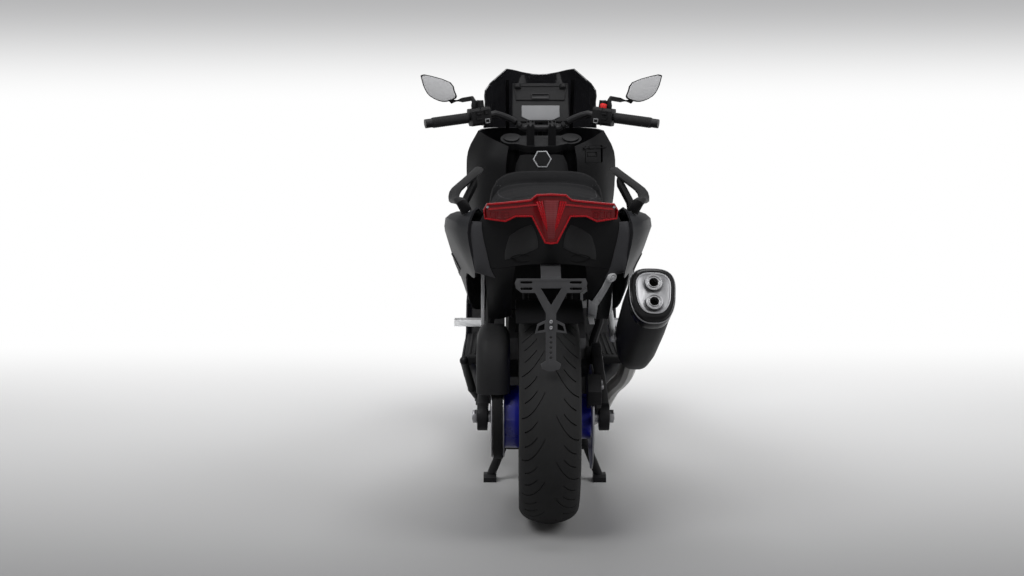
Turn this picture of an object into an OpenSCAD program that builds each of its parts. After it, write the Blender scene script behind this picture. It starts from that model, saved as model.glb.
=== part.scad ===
// Maxi scooter parked on its centre stand: an assembly of separate pieces.
// +Y is forward, +X the rider's right, +Z up. Lengths are millimetres.
// Inside the modules Y is measured from the rear axle, and placed() moves the
// origin to the middle of the machine, on the ground.

/* [Wheels] */
// Distance between the axles
wheelbase = 1575; // [1560:1:1600]
// Rear tyre section width
rear_tyre_w = 160; // [150:1:164]
// Rear tyre outside diameter
rear_tyre_d = 573; // [565:1:580]
// Front tyre section width
front_tyre_w = 120; // [110:1:124]
// Front tyre outside diameter
front_tyre_d = 549; // [540:1:556]
// Bead seat diameter of both rims
rim_d = 381; // [376:1:386]
// Height of the rear tyre above the ground on the centre stand
stand_lift = 8; // [5:1:12]
// Rear axle diameter
rear_axle_d = 20; // [16:1:24]
// Front axle diameter
front_axle_d = 18; // [15:1:20]

/* [Brakes and drive] */
// Rear brake disc diameter
rear_disc_d = 282; // [270:1:290]
// Front brake disc diameter
front_disc_d = 267; // [255:1:272]
// Brake disc thickness
disc_t = 5; // [4:0.5:6]
// Rear belt pulley diameter
pulley_d = 210; // [200:2:220]
// Front belt pulley diameter
front_pulley_d = 90; // [84:2:96]
// Drive belt width
belt_w = 24; // [20:1:26]
// Drive belt thickness
belt_t = 8; // [6:0.5:9]

/* [Steering] */
// Steering head angle from the vertical
rake = 26; // [25.5:0.25:26.5]
// Ground trail
trail = 98; // [94:1:102]
// Distance between the fork legs
fork_spread = 200; // [196:1:206]
// Fork upper tube diameter
fork_tube_d = 54; // [50:1:56]
// Fork lower leg diameter
fork_leg_d = 43; // [41:1:46]
// Handlebar height along the steering axis, from the front axle
bar_rise = 856; // [850:1:866]
// Handlebar tube diameter
bar_d = 22; // [20:1:24]
// Distance from the middle to the end of the handlebar tube
bar_half_w = 372; // [364:1:378]

/* [Body] */
// Height of the rider's seat
seat_h = 800; // [795:1:806]
// Height of the passenger's seat above the rider's
seat_step = 98; // [92:1:102]
// Full width over the hips
hip_w = 568; // [560:1:576]
// Full width of the leg shield
shield_w = 504; // [498:1:510]
// Height of the windscreen's corners
screen_h = 1228; // [1215:1:1240]
// Distance of the tail's end behind the rear axle
tail_reach = 262; // [256:1:272]
// Height of the footboards
floor_h = 352; // [349:1:355]
// Thickness of the moulded panels
panel_t = 5; // [4:0.5:5.5]

/* [Exhaust] */
// Muffler width
muffler_w = 116; // [110:1:120]
// Muffler height
muffler_h = 150; // [140:1:156]
// Exhaust pipe diameter
pipe_d = 46; // [42:1:50]

/* [Hidden] */
$fn = 48;
rear_r = rear_tyre_d / 2;
front_r = front_tyre_d / 2;
rear_z = rear_r + stand_lift;
front_z = front_r;
middle_y = (wheelbase + front_r - rear_r) / 2;
bead_r = rim_d / 2;
flange_r = bead_r + 10.5;
fork_offset = front_r * sin(rake) - trail * cos(rake);
// A longer or shorter wheelbase is shared out over the floor between these two places
stretch_from = 600;
stretch_to = 1100;
fore = wheelbase - 1575;
function stretch_y(y) = y + fore * min(max((y - stretch_from) / (stretch_to - stretch_from), 0), 1);
function stretch(p) = [p.x, stretch_y(p.y), p.z];
function side_view(points) = [for (p = points) [stretch_y(p[0]), p[1]]];
// Radial clearance of a shaft, and the gap between pieces that seat on each other
running_gap = 0.1;
seat_gap = 0.3;

// Placing and joining

module placed() translate([0, -middle_y, 0]) children();

module both_sides() {
    children();
    mirror([1, 0, 0]) children();
}

// Extrudes a side-view outline, drawn as [y, z], from x0 to x1
module across(x0, x1) translate([x0, 0, 0]) rotate([90, 0, 90]) linear_extrude(height = x1 - x0) children();

// Extrudes a rear-view outline, drawn as [x, z], from y0 to y1
module along(y0, y1) translate([0, y1, 0]) rotate([90, 0, 0]) linear_extrude(height = y1 - y0) children();

// A round bar across the machine, centred on [y, z]
module cross_bar(y, z, r, x0, x1) translate([x0, y, z]) rotate([0, 90, 0]) cylinder(r = r, h = x1 - x0);

module rod(a, b, r) {
    d = b - a;
    translate(a) rotate([0, acos(d.z / norm(d)), atan2(d.y, d.x)]) cylinder(r = r, h = norm(d));
}

module bent_rod(points, r) {
    for (i = [0:len(points) - 2]) rod(points[i], points[i + 1], r);
    for (i = [1:len(points) - 2]) translate(points[i])
        sphere(r * 1.05 / cos(bend(points[i - 1], points[i], points[i + 1]) / 2));
}

// Angle by which a path turns at b
function bend(a, b, c) = acos(unit(b - a) * unit(c - b));

// Wheel parts are drawn round Z and turned so that Z points to the right
module on_axle(y, z) translate([0, y, z]) rotate([0, 90, 0]) children();

// The steering frame: origin on the front axle, Z along the fork legs
module steering_frame() translate([0, wheelbase, front_z]) rotate([rake, 0, 0]) children();

function steering_point(p) = [p.x, wheelbase + p.y * cos(rake) - p.z * sin(rake),
    front_z + p.y * sin(rake) + p.z * cos(rake)];

// Curved sheets through a few control points

function unit(v) = v / norm(v);

function curve_at(p, t) =
    let (n = len(p) - 1, s = min(floor(t * n), n - 1), f = t * n - s)
    let (b = p[s], c = p[s + 1], a = s > 0 ? p[s - 1] : 2 * b - c, d = s + 2 <= n ? p[s + 2] : 2 * c - b)
    b + 0.5 * f * ((c - a) + f * ((2 * a - 5 * b + 4 * c - d) + f * (3 * (b - c) + d - a)));

function curve(p, n) = [for (i = [0:n]) curve_at(p, i / n)];

// A grid of nu by nv cells through rows of control points
function sheet_grid(rows, nu, nv) =
    let (fine = [for (r = rows) curve([for (p = r) stretch(p)], nv)])
    [for (i = [0:nu]) [for (j = [0:nv]) curve_at([for (r = fine) r[j]], i / nu)]];

// A row from the middle to the right, completed with its mirror image
function full_row(r) = concat([for (i = [len(r) - 1:-1:1]) [-r[i].x, r[i].y, r[i].z]], r);

function grid_normal(g, i, j) =
    let (m = len(g) - 1, n = len(g[0]) - 1)
    unit(cross(g[min(i + 1, m)][j] - g[max(i - 1, 0)][j], g[i][min(j + 1, n)] - g[i][max(j - 1, 0)]));

function moved_grid(g, d) = [for (i = [0:len(g) - 1])
    [for (j = [0:len(g[0]) - 1]) g[i][j] + d * grid_normal(g, i, j)]];

// The grid point nearest to the fractions u and v of a sheet
function cell(g, u, v) = [round(u * (len(g) - 1)), round(v * (len(g[0]) - 1))];

// A point at height h above a sheet's outer face
function above(g, u, v, h) = let (c = cell(g, u, v)) g[c[0]][c[1]] + h * grid_normal(g, c[0], c[1]);

function grid_part(g, i0, i1, j0, j1) = [for (i = [i0:i1]) [for (j = [j0:j1]) g[i][j]]];

function halves(a, b, c, d) = [[a, b, c], [a, c, d]];

// A solid sheet between a grid and the same grid moved along its normals
module thick_sheet(g, wall) {
    m = len(g);
    n = len(g[0]);
    low = wall < 0 ? moved_grid(g, wall) : g;
    high = wall < 0 ? g : moved_grid(g, wall);
    function lo(i, j) = i * n + j;
    function hi(i, j) = m * n + i * n + j;
    faces = concat(
        [for (i = [0:m - 2]) for (j = [0:n - 2]) each concat(
            halves(lo(i, j), lo(i + 1, j), lo(i + 1, j + 1), lo(i, j + 1)),
            halves(hi(i, j), hi(i, j + 1), hi(i + 1, j + 1), hi(i + 1, j)))],
        [for (i = [0:m - 2]) each concat(
            halves(lo(i + 1, 0), lo(i, 0), hi(i, 0), hi(i + 1, 0)),
            halves(lo(i, n - 1), lo(i + 1, n - 1), hi(i + 1, n - 1), hi(i, n - 1)))],
        [for (j = [0:n - 2]) each concat(
            halves(lo(0, j), lo(0, j + 1), hi(0, j + 1), hi(0, j)),
            halves(lo(m - 1, j + 1), lo(m - 1, j), hi(m - 1, j), hi(m - 1, j + 1)))]);
    polyhedron(points = concat([for (r = low) each r], [for (r = high) each r]), faces = faces);
}

// A closed skin over rings of equal length, the first and last capped
module loft(rings) {
    m = len(rings);
    n = len(rings[0]);
    function at(i, j) = i * n + j % n;
    faces = concat(
        [[for (j = [0:n - 1]) at(0, j)]],
        [[for (j = [n - 1:-1:0]) at(m - 1, j)]],
        [for (i = [0:m - 2]) for (j = [0:n - 1]) each
            halves(at(i, j), at(i + 1, j), at(i + 1, j + 1), at(i, j + 1))]);
    polyhedron(points = [for (r = rings) each r], faces = faces);
}

function signed_power(v, e) = sign(v) * pow(abs(v), e);

// A smooth bar through a few points, with an oval section of half sizes a (across) and b (in the side view)
module swept_bar(points, steps, a, b) {
    p = curve(points, steps);
    n = len(points) - 1;
    loft([for (i = [0:steps])
        let (t = unit(i == 0 ? points[1] - points[0]
            : i == steps ? points[n] - points[n - 1] : p[i + 1] - p[i - 1]))
        let (lift = unit(cross(t, abs(t.x) > 0.8 ? [0, 1, 0] : [1, 0, 0])), side = cross(lift, t))
        [for (k = [18:36:359]) p[i] + a * cos(k) * side + b * sin(k) * lift]]);
}

// Wheels

rear_rim_half = 64;
front_rim_half = 44;
rim_flange_t = 6;
rim_wall = 12;

function tyre_outline(w, r, rim_half, drop) =
    let (clear = seat_gap + 0.1, foot = rim_half - 0.5, lip = flange_r + 2)
    let (half_side = [[bead_r + clear, foot], [lip, foot], [lip, rim_half + 4],
        [(lip + r - drop) / 2, w / 2 - 2]])
    concat([for (p = half_side) [p[0], -p[1]]],
        [for (a = [-90:10:90]) [r - drop * (1 - cos(a)), w / 2 * sin(a)]],
        [for (i = [3:-1:0]) half_side[i]]);

module tyre(w, r, rim_half, drop)
    color([0.06, 0.06, 0.065]) rotate_extrude($fn = 120) polygon(tyre_outline(w, r, rim_half, drop));

// Cast rim: barrel with flanges, hub and five twin spokes
module rim(rim_half, hub, bore_r, spoke_t) {
    edge = rim_half + rim_flange_t;
    inner = bead_r - rim_wall;
    difference() {
        union() {
            rotate_extrude($fn = 120) polygon([[inner, -edge], [flange_r, -edge], [flange_r, -rim_half],
                [bead_r, -rim_half], [bead_r, rim_half], [flange_r, rim_half], [flange_r, edge], [inner, edge]]);
            for (h = hub) translate([0, 0, h[1]]) cylinder(r = h[0], h = h[2] - h[1]);
            for (i = [0:4], side = [-1, 1]) rotate(i * 72 + side * asin(14.5 / hub[0][0]))
                translate([0, 0, -spoke_t / 2]) linear_extrude(height = spoke_t)
                    polygon([[hub[0][0] - 8, -13], [inner + 5, -9], [inner + 5, 9], [hub[0][0] - 8, 13]]);
        }
        translate([0, 0, -300]) cylinder(r = bore_r, h = 600);
    }
}

module brake_disc(r, inner_r, x) {
    difference() {
        translate([0, 0, x]) cylinder(r = r, h = disc_t, $fn = 96);
        translate([0, 0, x - 1]) cylinder(r = inner_r, h = disc_t + 2);
        for (k = [0:1], i = [0:17]) rotate(i * 20 + k * 10)
            translate([r - 12 - k * 16, 0, x - 1]) cylinder(r = 4, h = disc_t + 2, $fn = 16);
        for (i = [0:5]) rotate(i * 60) translate([(inner_r + r - 46) / 2 + 4, 0, x - 1])
            cylinder(r = (r - 46 - inner_r) / 2 - 6, h = disc_t + 2, $fn = 24);
    }
}

// Rear wheel stations across the machine
rear_hub_left = -118.5;
rear_hub_right = 112.5;
pulley_side_t = 3.5;
pulley_w = belt_w + 4 + 2 * pulley_side_t;
pulley_left = rear_hub_left - pulley_w;
belt_mid_x = rear_hub_left - pulley_w / 2;
arm_t = 28;
left_arm_x = pulley_left - 10 - arm_t;
right_arm_x = rear_hub_right + disc_t + 18;

module rear_rim() on_axle(0, rear_z) color([0.02, 0.03, 0.55])
    rim(rear_rim_half, [[60, rear_hub_left, rear_hub_right], [84, rear_hub_left, -72]],
        rear_axle_d / 2 + running_gap, 46);

module rear_tyre() on_axle(0, rear_z) tyre(rear_tyre_w, rear_r, rear_rim_half, 46);

module rear_disc() on_axle(0, rear_z) color([0.7, 0.7, 0.72]) brake_disc(rear_disc_d / 2, 40, rear_hub_right);

module rear_pulley() on_axle(0, rear_z) color([0.45, 0.45, 0.47]) difference() {
    union() {
        translate([0, 0, pulley_left]) cylinder(r = pulley_d / 2, h = pulley_w, $fn = 96);
        translate([0, 0, pulley_left]) cylinder(r = pulley_d / 2 + 5, h = pulley_side_t, $fn = 96);
        translate([0, 0, rear_hub_left - pulley_side_t]) cylinder(r = pulley_d / 2 + 5, h = pulley_side_t, $fn = 96);
    }
    translate([0, 0, pulley_left - 1]) cylinder(r = 26, h = pulley_w + 2);
    for (i = [0:4]) rotate(i * 72) translate([62, 0, pulley_left - 1]) cylinder(r = 22, h = pulley_w + 2);
}

module rear_axle() color([0.5, 0.5, 0.52]) {
    cross_bar(0, rear_z, rear_axle_d / 2, left_arm_x - 14, right_arm_x + arm_t + 14);
    cross_bar(0, rear_z, rear_axle_d / 2 + 6, left_arm_x + arm_t + seat_gap, pulley_left - 0.7);
    cross_bar(0, rear_z, rear_axle_d / 2 + 6, rear_hub_right + 0.7, right_arm_x - seat_gap);
    for (x = [left_arm_x - 12, right_arm_x + arm_t + seat_gap])
        translate([x, 0, rear_z]) rotate([0, 90, 0]) cylinder(r = rear_axle_d / 2 + 8, h = 11.6, $fn = 6);
}

// Swingarm and drive

pivot_y = 430;
pivot_z = rear_z + 85;
pivot_r = 10;

module arm_outline() {
    translate([0, rear_z]) circle(r = 38);
    translate([pivot_y, pivot_z]) circle(r = 45);
    polygon([[0, rear_z + 34], [pivot_y, pivot_z + 41], [pivot_y, pivot_z - 41], [0, rear_z - 34]]);
}

module swingarm() color([0.16, 0.16, 0.17]) difference() {
    union() {
        across(left_arm_x, left_arm_x + arm_t) arm_outline();
        across(right_arm_x, right_arm_x + arm_t) arm_outline();
        across(left_arm_x + arm_t - 2, right_arm_x + 2)
            polygon([[312, pivot_z - 36], [378, pivot_z - 28], [378, pivot_z + 4], [312, pivot_z - 6]]);
    }
    cross_bar(0, rear_z, rear_axle_d / 2 + running_gap, -300, 300);
    cross_bar(pivot_y, pivot_z, pivot_r + running_gap, -300, 300);
}

// Points of the open loop round both pulleys, grown by g
function loop_points(g) =
    let (a = pulley_d / 2 + g, b = front_pulley_d / 2 + g)
    let (d = norm([pivot_y, pivot_z - rear_z]), tilt = atan2(pivot_z - rear_z, pivot_y), lean = asin((a - b) / d))
    concat([for (t = [90 - lean:7.5:270 + lean]) [a * cos(t + tilt), rear_z + a * sin(t + tilt)]],
        [for (t = [270 + lean:10:450 - lean]) [pivot_y + b * cos(t + tilt), pivot_z + b * sin(t + tilt)]]);

module drive_belt() color([0.03, 0.03, 0.03])
    across(belt_mid_x - belt_w / 2, belt_mid_x + belt_w / 2) difference() {
        polygon(loop_points(belt_t + 0.6));
        polygon(loop_points(0.6));
    }

// Guard over the upper run and the back of the rear pulley: crown points [y, z], the way in [y, z] and the depth
guard_t = 4;
guard_x = [left_arm_x, rear_hub_left + 14];
guard_stations = [[330, 474, 0, -1, 42], [200, 496, 0.1, -1, 54], [90, 530, 0.1, -1, 82], [0, 542, 0.15, -1, 96],
    [-68, 526, 0.6, -0.8, 92], [-101, 478, 1, -0.2, 72], [-104, 420, 1, 0, 60], [-98, 372, 1, 0.08, 52]];

function guard_row(s) = [for (p = [[0, 1], [0, 0.3], [18, 0], [43.5, -0.02], [69, 0], [87, 0.3], [87, 1]])
    [guard_x[0] + p[0], s[0] + p[1] * s[4] * s[2], rear_z - 294.5 + s[1] + p[1] * s[4] * s[3]]];

guard_grid = sheet_grid([for (s = guard_stations) guard_row(s)], 14, 12);

module belt_cover() color([0.2, 0.2, 0.21]) {
    thick_sheet(guard_grid, -guard_t);
    across(guard_x[0] + 0.5, guard_x[0] + guard_t - 0.5) polygon([[120, rear_z + 60.4], [200, rear_z + 77.4],
        [200, rear_z + 162], [120, rear_z + 166]]);
}

module rear_caliper() {
    slot = 5;
    x0 = rear_hub_right - slot;
    color([0.08, 0.08, 0.09]) translate([0, 0, rear_z]) difference() {
        union() {
            across(x0 - 9, right_arm_x - seat_gap)
                polygon([[-62, 92], [-100, 42], [-140, 58], [-150, 96], [-112, 136], [-78, 128]]);
            across(right_arm_x - 9, right_arm_x - seat_gap)
                polygon([[40, 40], [-64, 90], [-112, 60], [-30, 20], [30, -22]]);
        }
        cross_bar(0, 0, rear_disc_d / 2 + 6, x0, rear_hub_right + disc_t + slot);
        cross_bar(0, 0, rear_axle_d / 2 + 7, 0, 300);
    }
}

// Frame and engine

beam_r = 16;
beam_x = 144;
joint_y = 606;
floor_t = 22;
beam_z = floor_h - floor_t - beam_r - seat_gap;
rail_r = 13;
tub_half = 150;
rail_x = tub_half + rail_r + seat_gap;
head_r = 30;
stem_r = 15;
head_low = 556;
head_high = 770;
stand_pivot_y = 430;
stand_pivot_z = 212;
stand_pin_r = 9;
engine_left = -108;
engine_right = 118;

// Backbone: steering head, two beams under the floor and the stays of the front body
module frame() color([0.1, 0.1, 0.11]) difference() {
    union() {
        steering_frame() translate([0, -fork_offset, head_low]) cylinder(r = head_r, h = head_high - head_low);
        for (s = [-1, 1]) {
            knee = stretch([s * 82, 1205, 560]);
            head = steering_point([s * 18, -fork_offset - 16, head_high - 70]);
            swept_bar([[s * beam_x, joint_y + seat_gap, beam_z], stretch([s * beam_x, 780, beam_z]),
                stretch([s * beam_x, 940, beam_z]), stretch([s * 92, 1080, beam_z]), knee, head], 16, beam_r, beam_r);
            stay(knee + 0.31 * (head - knee), shield_grid, 0.73, 0.4, s);
            rod(knee, knee + [0, 21, -70], 9);
            translate(knee + [0, 21, -70]) sphere(9.7);
        }
        fairing_stay();
    }
    steering_frame() translate([0, -fork_offset, head_low - 50]) cylinder(r = stem_r + running_gap, h = 400);
}

right_plate = [engine_right + seat_gap, engine_right + 14];
left_plate = [pulley_left - 8.5, pulley_left - 1.5];

// Pivot plates with the swingarm and stand pins
module rear_frame() color([0.1, 0.1, 0.11]) {
    for (plate = [left_plate, right_plate]) across(plate[0], plate[1]) pivot_plate();
    cross_bar(pivot_y, pivot_z, pivot_r, left_arm_x - 8, right_arm_x + arm_t + 8);
    cross_bar(stand_pivot_y, stand_pivot_z, stand_pin_r, left_plate[0] + 3, right_plate[1] - 3);
    side_stand_lug();
}

tail_bar_y = -130;
tail_bar_z = 778;
tail_bar_r = 10;

// Rails beside the tub, from the pivot plates to the tail, with the stays of the rear body
module seat_rails() color([0.1, 0.1, 0.11]) for (s = [-1, 1]) {
    foot_x = s > 0 ? right_plate[1] + rail_r + seat_gap : left_plate[0] - rail_r - seat_gap;
    swept_bar([[foot_x, 520, 335], [foot_x, 515, 375], [foot_x, 509, 420], [s * rail_x, 503, 478],
        [s * rail_x, 496, 522], [s * rail_x, 464, 642], [s * rail_x, 330, 678.5], [s * rail_x, 200, 714.5],
        [s * rail_x, 70, 750], [s * 118, tail_bar_y, tail_bar_z]], 27, rail_r, rail_r);
    stay([s * rail_x, 440, 649], hip_grid, 0.35, 0.42, s);
    stay([s * rail_x, 110, 739], hip_grid, 0.7, 0.42, s);
    stay([s * rail_x, 90, 744.5], leg_grid, 0.5, 0.5, s);
}

// Bar across the rails' ends, for the tail cowl and the plate bracket
module tail_bar() color([0.1, 0.1, 0.11]) {
    reach = 118 - rail_r * 1.03 - seat_gap;
    cross_bar(tail_bar_y, tail_bar_z, tail_bar_r, -reach, reach);
    for (s = [-1, 1]) stay([s * 60, tail_bar_y, tail_bar_z], tail_grid, 0.6, 0.67, s);
}

// Stay in front of the steering head, for the dash and the front cowl
module fairing_stay() {
    fork = stretch([0, 1440, 900]);
    top = stretch([0, 1410, dash_low - 12 - seat_gap]);
    bent_rod([steering_point([0, 22 - fork_offset, 640]), fork, top], 9);
    translate(top) sphere(12);
    for (v = [0.36, 0.64]) stay(fork, cowl_grid, 0.67, v);
}

// A thin bar from a point on the frame to just inside a panel
module stay(p, g, u, v, side = 1) {
    tip = above(g, u, v, -panel_t - 8 - seat_gap);
    end = [side * tip.x, tip.y, tip.z];
    rod(p, end, 7);
    translate(end) sphere(8);
}

side_pivot = [-196, 540, 235];
side_axis = unit([1, 0.068, -0.1]);
side_pin_r = 8;

module side_stand_lug() {
    rod([pulley_left - 5, 545, beam_z - 10], side_pivot + 30 * side_axis, 11);
    translate(side_pivot + 30 * side_axis) sphere(12.5);
    rod(side_pivot + 30 * side_axis, side_pivot - 14 * side_axis, side_pin_r);
}

module pivot_plate() polygon([[398, pivot_z + 40], [560, beam_z + 40], [joint_y, beam_z + 14],
    [joint_y, beam_z - 14], [480, 240], [450, 188], [410, 188], [404, 240], [398, pivot_z - 60]]);

module engine() color([0.28, 0.28, 0.29]) difference() {
    union() {
        across(engine_left, engine_right) polygon(side_view([[470, 220], [640, 212], [640, 470], [500, 490],
            [420, 440], [406, 400], [406, 330]]));
        across(-98, 98) polygon(side_view([[638, 213], [760, 208], [840, 250], [930, 300], [930, 420], [800, 470],
            [638, 460]]));
        cross_bar(pivot_y, pivot_z, front_pulley_d / 2, belt_mid_x - belt_w / 2 - 1, engine_left + 1);
    }
    cross_bar(pivot_y, pivot_z, pivot_r + running_gap, -300, 300);
}

module radiator() color([0.12, 0.12, 0.13]) {
    across(-104, 104) polygon(side_view([[1236, 330], [1262, 330], [1262, 505], [1236, 505]]));
}

// Exhaust

muffler_front = [231, 132, 434];
muffler_back = [258, -250, 662];
muffler_axis = unit(muffler_back - muffler_front);
muffler_up = -unit(cross([1, 0, 0], muffler_axis));
muffler_side = cross(muffler_up, muffler_axis);
pipe_end = muffler_front - 0.6 * muffler_axis;
pipe_path = concat([for (p = [[60, 885.2, 274.7], [60, 908, 234], [62, 866, 184], [84, 562, 152]]) stretch(p)],
    [[150, 498, 190], [196, 428, 287], pipe_end - 150 * muffler_axis, pipe_end]);

module exhaust_pipe() color([0.3, 0.3, 0.31]) swept_bar(pipe_path, 21, pipe_d / 2, pipe_d / 2);

// How much wider the can is at its top than at its middle
muffler_egg = 0.16;

// Rings of the can across its axis: [fraction of the length, width and height factor]
function muffler_middle(t) = muffler_front + t * (muffler_back - muffler_front);

function muffler_ring(t, k, e) = [for (a = [0:11.25:359]) muffler_middle(t)
    + muffler_side * signed_power(cos(a), e) * muffler_w / 2 * k * (1 + muffler_egg * sin(a))
    + muffler_up * signed_power(sin(a), e) * muffler_h / 2 * k];

module muffler() color([0.09, 0.09, 0.1]) loft([for (s = [[0, 0.4], [0.04, 0.55], [0.16, 0.86], [0.3, 0.96],
    [0.6, 1], [0.86, 0.98], [0.88, 0.95]]) muffler_ring(s[0], s[1], 0.72)]);

module muffler_cap() color([0.13, 0.13, 0.14]) difference() {
    loft([for (s = [[0.8815, 1.0], [0.96, 1.0], [0.99, 0.93], [1, 0.84]]) muffler_ring(s[0], s[1], 0.72)]);
    for (h = [-26, 26]) rod(muffler_back + h * muffler_up - 40 * muffler_axis,
        muffler_back + h * muffler_up + 20 * muffler_axis, 16);
}

// Cast footrest brackets on the seat rails; the right one has an inner arm and the muffler's hanger
plate_in = rail_x + rail_r + seat_gap;
plate_out = plate_in + 9;

module footrest_plate() across(plate_in, plate_out) difference() {
    polygon([[414, 640], [406, 676], [300, 706], [268, 698], [250, 524], [260, 498], [318, 498], [334, 544],
        [366, 606]]);
    polygon([[386, 652], [308, 676], [330, 612]]);
    polygon([[290, 680], [268, 560], [312, 560], [316, 612]]);
}

module footrest_brackets() color([0.62, 0.63, 0.65]) {
    both_sides() {
        footrest_plate();
        across(plate_out - 1, 262) polygon([[256, 500], [316, 500], [308, 517], [266, 517]]);
    }
    along(286, 302) difference() {
        polygon([[97, 548], [124, 548], [126, 584], [plate_in + 2, 636], [plate_in + 2, 672], [152, 634], [97, 594]]);
        polygon([[104, 566], [118, 572], [118, 598], [104, 588]]);
        polygon([[126, 600], [166, 636], [158, 634], [126, 608]]);
    }
    rod([plate_out - 4, 300, 536], hanger_tip, 9);
    translate(hanger_tip) sphere(10);
}

hanger_tip = muffler_middle(0.3) - muffler_side * (muffler_w / 2 * 0.96 + 10 + seat_gap);

// Tub, seat and tail

function seat_base(y) = seat_h - 72 + (800 - y) * 0.11;
pan_t = 8;
seat_hinge_y = stretch_y(800);
seat_hinge_z = seat_h - 94;
seat_pin_r = 6;
tub_wall = 4;
tub_front = stretch_y(700);
tub_back = 84;

function tub_outline(w) = [[tub_back + w, 640 + w], [330 + w / 2, 640 + w], [400 + w / 2, 530 + w],
    [tub_front - w, 530 + w], [tub_front - w, seat_base(tub_front) - pan_t - 0.5 + w * 10],
    [tub_back + w, seat_base(tub_back) - pan_t - 0.5 + w * 10]];

module storage_tub() color([0.07, 0.07, 0.075]) {
    difference() {
        across(-tub_half, tub_half) polygon(tub_outline(0));
        across(-tub_half + tub_wall, tub_half - tub_wall) polygon(tub_outline(tub_wall));
    }
    for (s = [-1, 1]) across(s * 36 - 4, s * 36 + 4)
        polygon([[tub_front - 1, seat_hinge_z - 18], [tub_front - 1, seat_hinge_z + 9],
            [seat_hinge_y - 4, seat_hinge_z + 12],
            [seat_hinge_y + 12, seat_hinge_z + 4], [seat_hinge_y + 10, seat_hinge_z - 12]]);
    cross_bar(seat_hinge_y, seat_hinge_z, seat_pin_r, -36, 36);
}

pan_front = stretch_y(790);
pan_back = -172;
// Half of the pan's outline from above: [x, y]
pan_half = [for (p = [[46, 790], [84, 740], [112, 660], [130, 560], [130, 60], [112, -80], [76, -172]])
    [p[0], stretch_y(p[1])]];

module seat_pan() color([0.05, 0.05, 0.055]) difference() {
    union() {
        intersection() {
            across(-132, 132) polygon([[pan_front, seat_base(pan_front) - pan_t], [pan_front, seat_base(pan_front)],
                [pan_back, seat_base(pan_back)], [pan_back, seat_base(pan_back) - pan_t]]);
            linear_extrude(height = 2 * seat_h) polygon(concat(pan_half,
                [for (i = [len(pan_half) - 1:-1:0]) [-pan_half[i][0], pan_half[i][1]]]));
        }
        across(-28, 28) polygon([[pan_front - 20, seat_base(pan_front - 20) - pan_t + 1],
            [pan_front, seat_base(pan_front) - pan_t + 1], [seat_hinge_y + 11, seat_hinge_z],
            [seat_hinge_y - 10, seat_hinge_z - 4]]);
        cross_bar(seat_hinge_y, seat_hinge_z, 13, -28, 28);
    }
    cross_bar(seat_hinge_y, seat_hinge_z, seat_pin_r + running_gap, -60, 60);
}

// Stations of the cushion: [y, half width, top height, squareness of the shoulder]
passenger_h = seat_h + seat_step;
seat_stations = [[824, 62, seat_h - 38, 0.6], [800, 88, seat_h - 22, 0.6], [740, 120, seat_h - 8, 0.55],
    [660, 146, seat_h - 1, 0.5],
    [560, 164, seat_h, 0.48], [480, 172, seat_h + 6, 0.46], [430, 172, seat_h + 36, 0.46],
    [396, 170, seat_h + 100, 0.48], [366, 168, seat_h + 140, 0.5], [336, 166, seat_h + 136, 0.5],
    [306, 165, passenger_h + 10, 0.5], [250, 164, passenger_h, 0.48], [120, 162, passenger_h + 1, 0.48],
    [-20, 154, passenger_h + 4, 0.48], [-120, 136, passenger_h + 4, 0.5], [-176, 108, passenger_h - 8, 0.55],
    [-203, 76, passenger_h - 26, 0.6]];

function seat_ring(s) =
    let (y = stretch_y(s[0]), low = seat_base(y) + seat_gap, rise = s[2] - low)
    [for (a = [0:9:180]) [s[1] * signed_power(cos(a), s[3]), y, low + rise * signed_power(sin(a), s[3])]];

module seat() color([0.08, 0.08, 0.085]) loft([for (s = seat_stations) seat_ring(s)]);

// Plan view of the tail's end, set back by d
function tail_plan(d) = [for (x = [-190:19:190]) [x, -tail_reach + d + 62 * pow(x / 171, 2)]];

lamp_t = 22.5;

module tail_band(d0, d1) linear_extrude(height = 1000) polygon(concat(tail_plan(d0),
    [for (i = [20:-1:0]) tail_plan(d1)[i]]));

lamp_outline = [[0, 913], [37, 911], [52, 898], [162, 884], [171, 868], [168, 845], [115, 840], [88, 854], [49, 855],
    [16, 789], [0, 787]];

module tail_lamp() color([0.6, 0.02, 0.03]) intersection() {
    along(-400, 0) polygon(concat(lamp_outline, [for (i = [9:-1:1]) [-lamp_outline[i][0], lamp_outline[i][1]]]));
    tail_band(0, lamp_t);
}

// Tail cowl below the lamp: rows from the top edge down to the chin, each from the middle to the right
tail_rows = [for (r = [
    [[0, -214, 908], [60, -206, 899], [118, -188, 888], [160, -166, 874]],
    [[0, -237, 872], [60, -229, 866], [118, -206, 860], [172, -172, 852]],
    [[0, -238, 832], [60, -216, 832], [118, -200, 830], [184, -168, 826]],
    [[0, -236, 790], [60, -202, 790], [118, -188, 788], [187, -160, 790]],
    [[0, -224, 752], [60, -194, 752], [118, -180, 748], [180, -152, 752]],
    [[0, -204, 730], [60, -192, 728], [118, -172, 718], [170, -142, 712]]]) full_row(
        [for (p = r) [p.x, p.y - tail_reach + 262, p.z]])];
tail_nu = 8;
tail_nv = 20;
tail_grid = sheet_grid(tail_rows, tail_nu, tail_nv);

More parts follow.
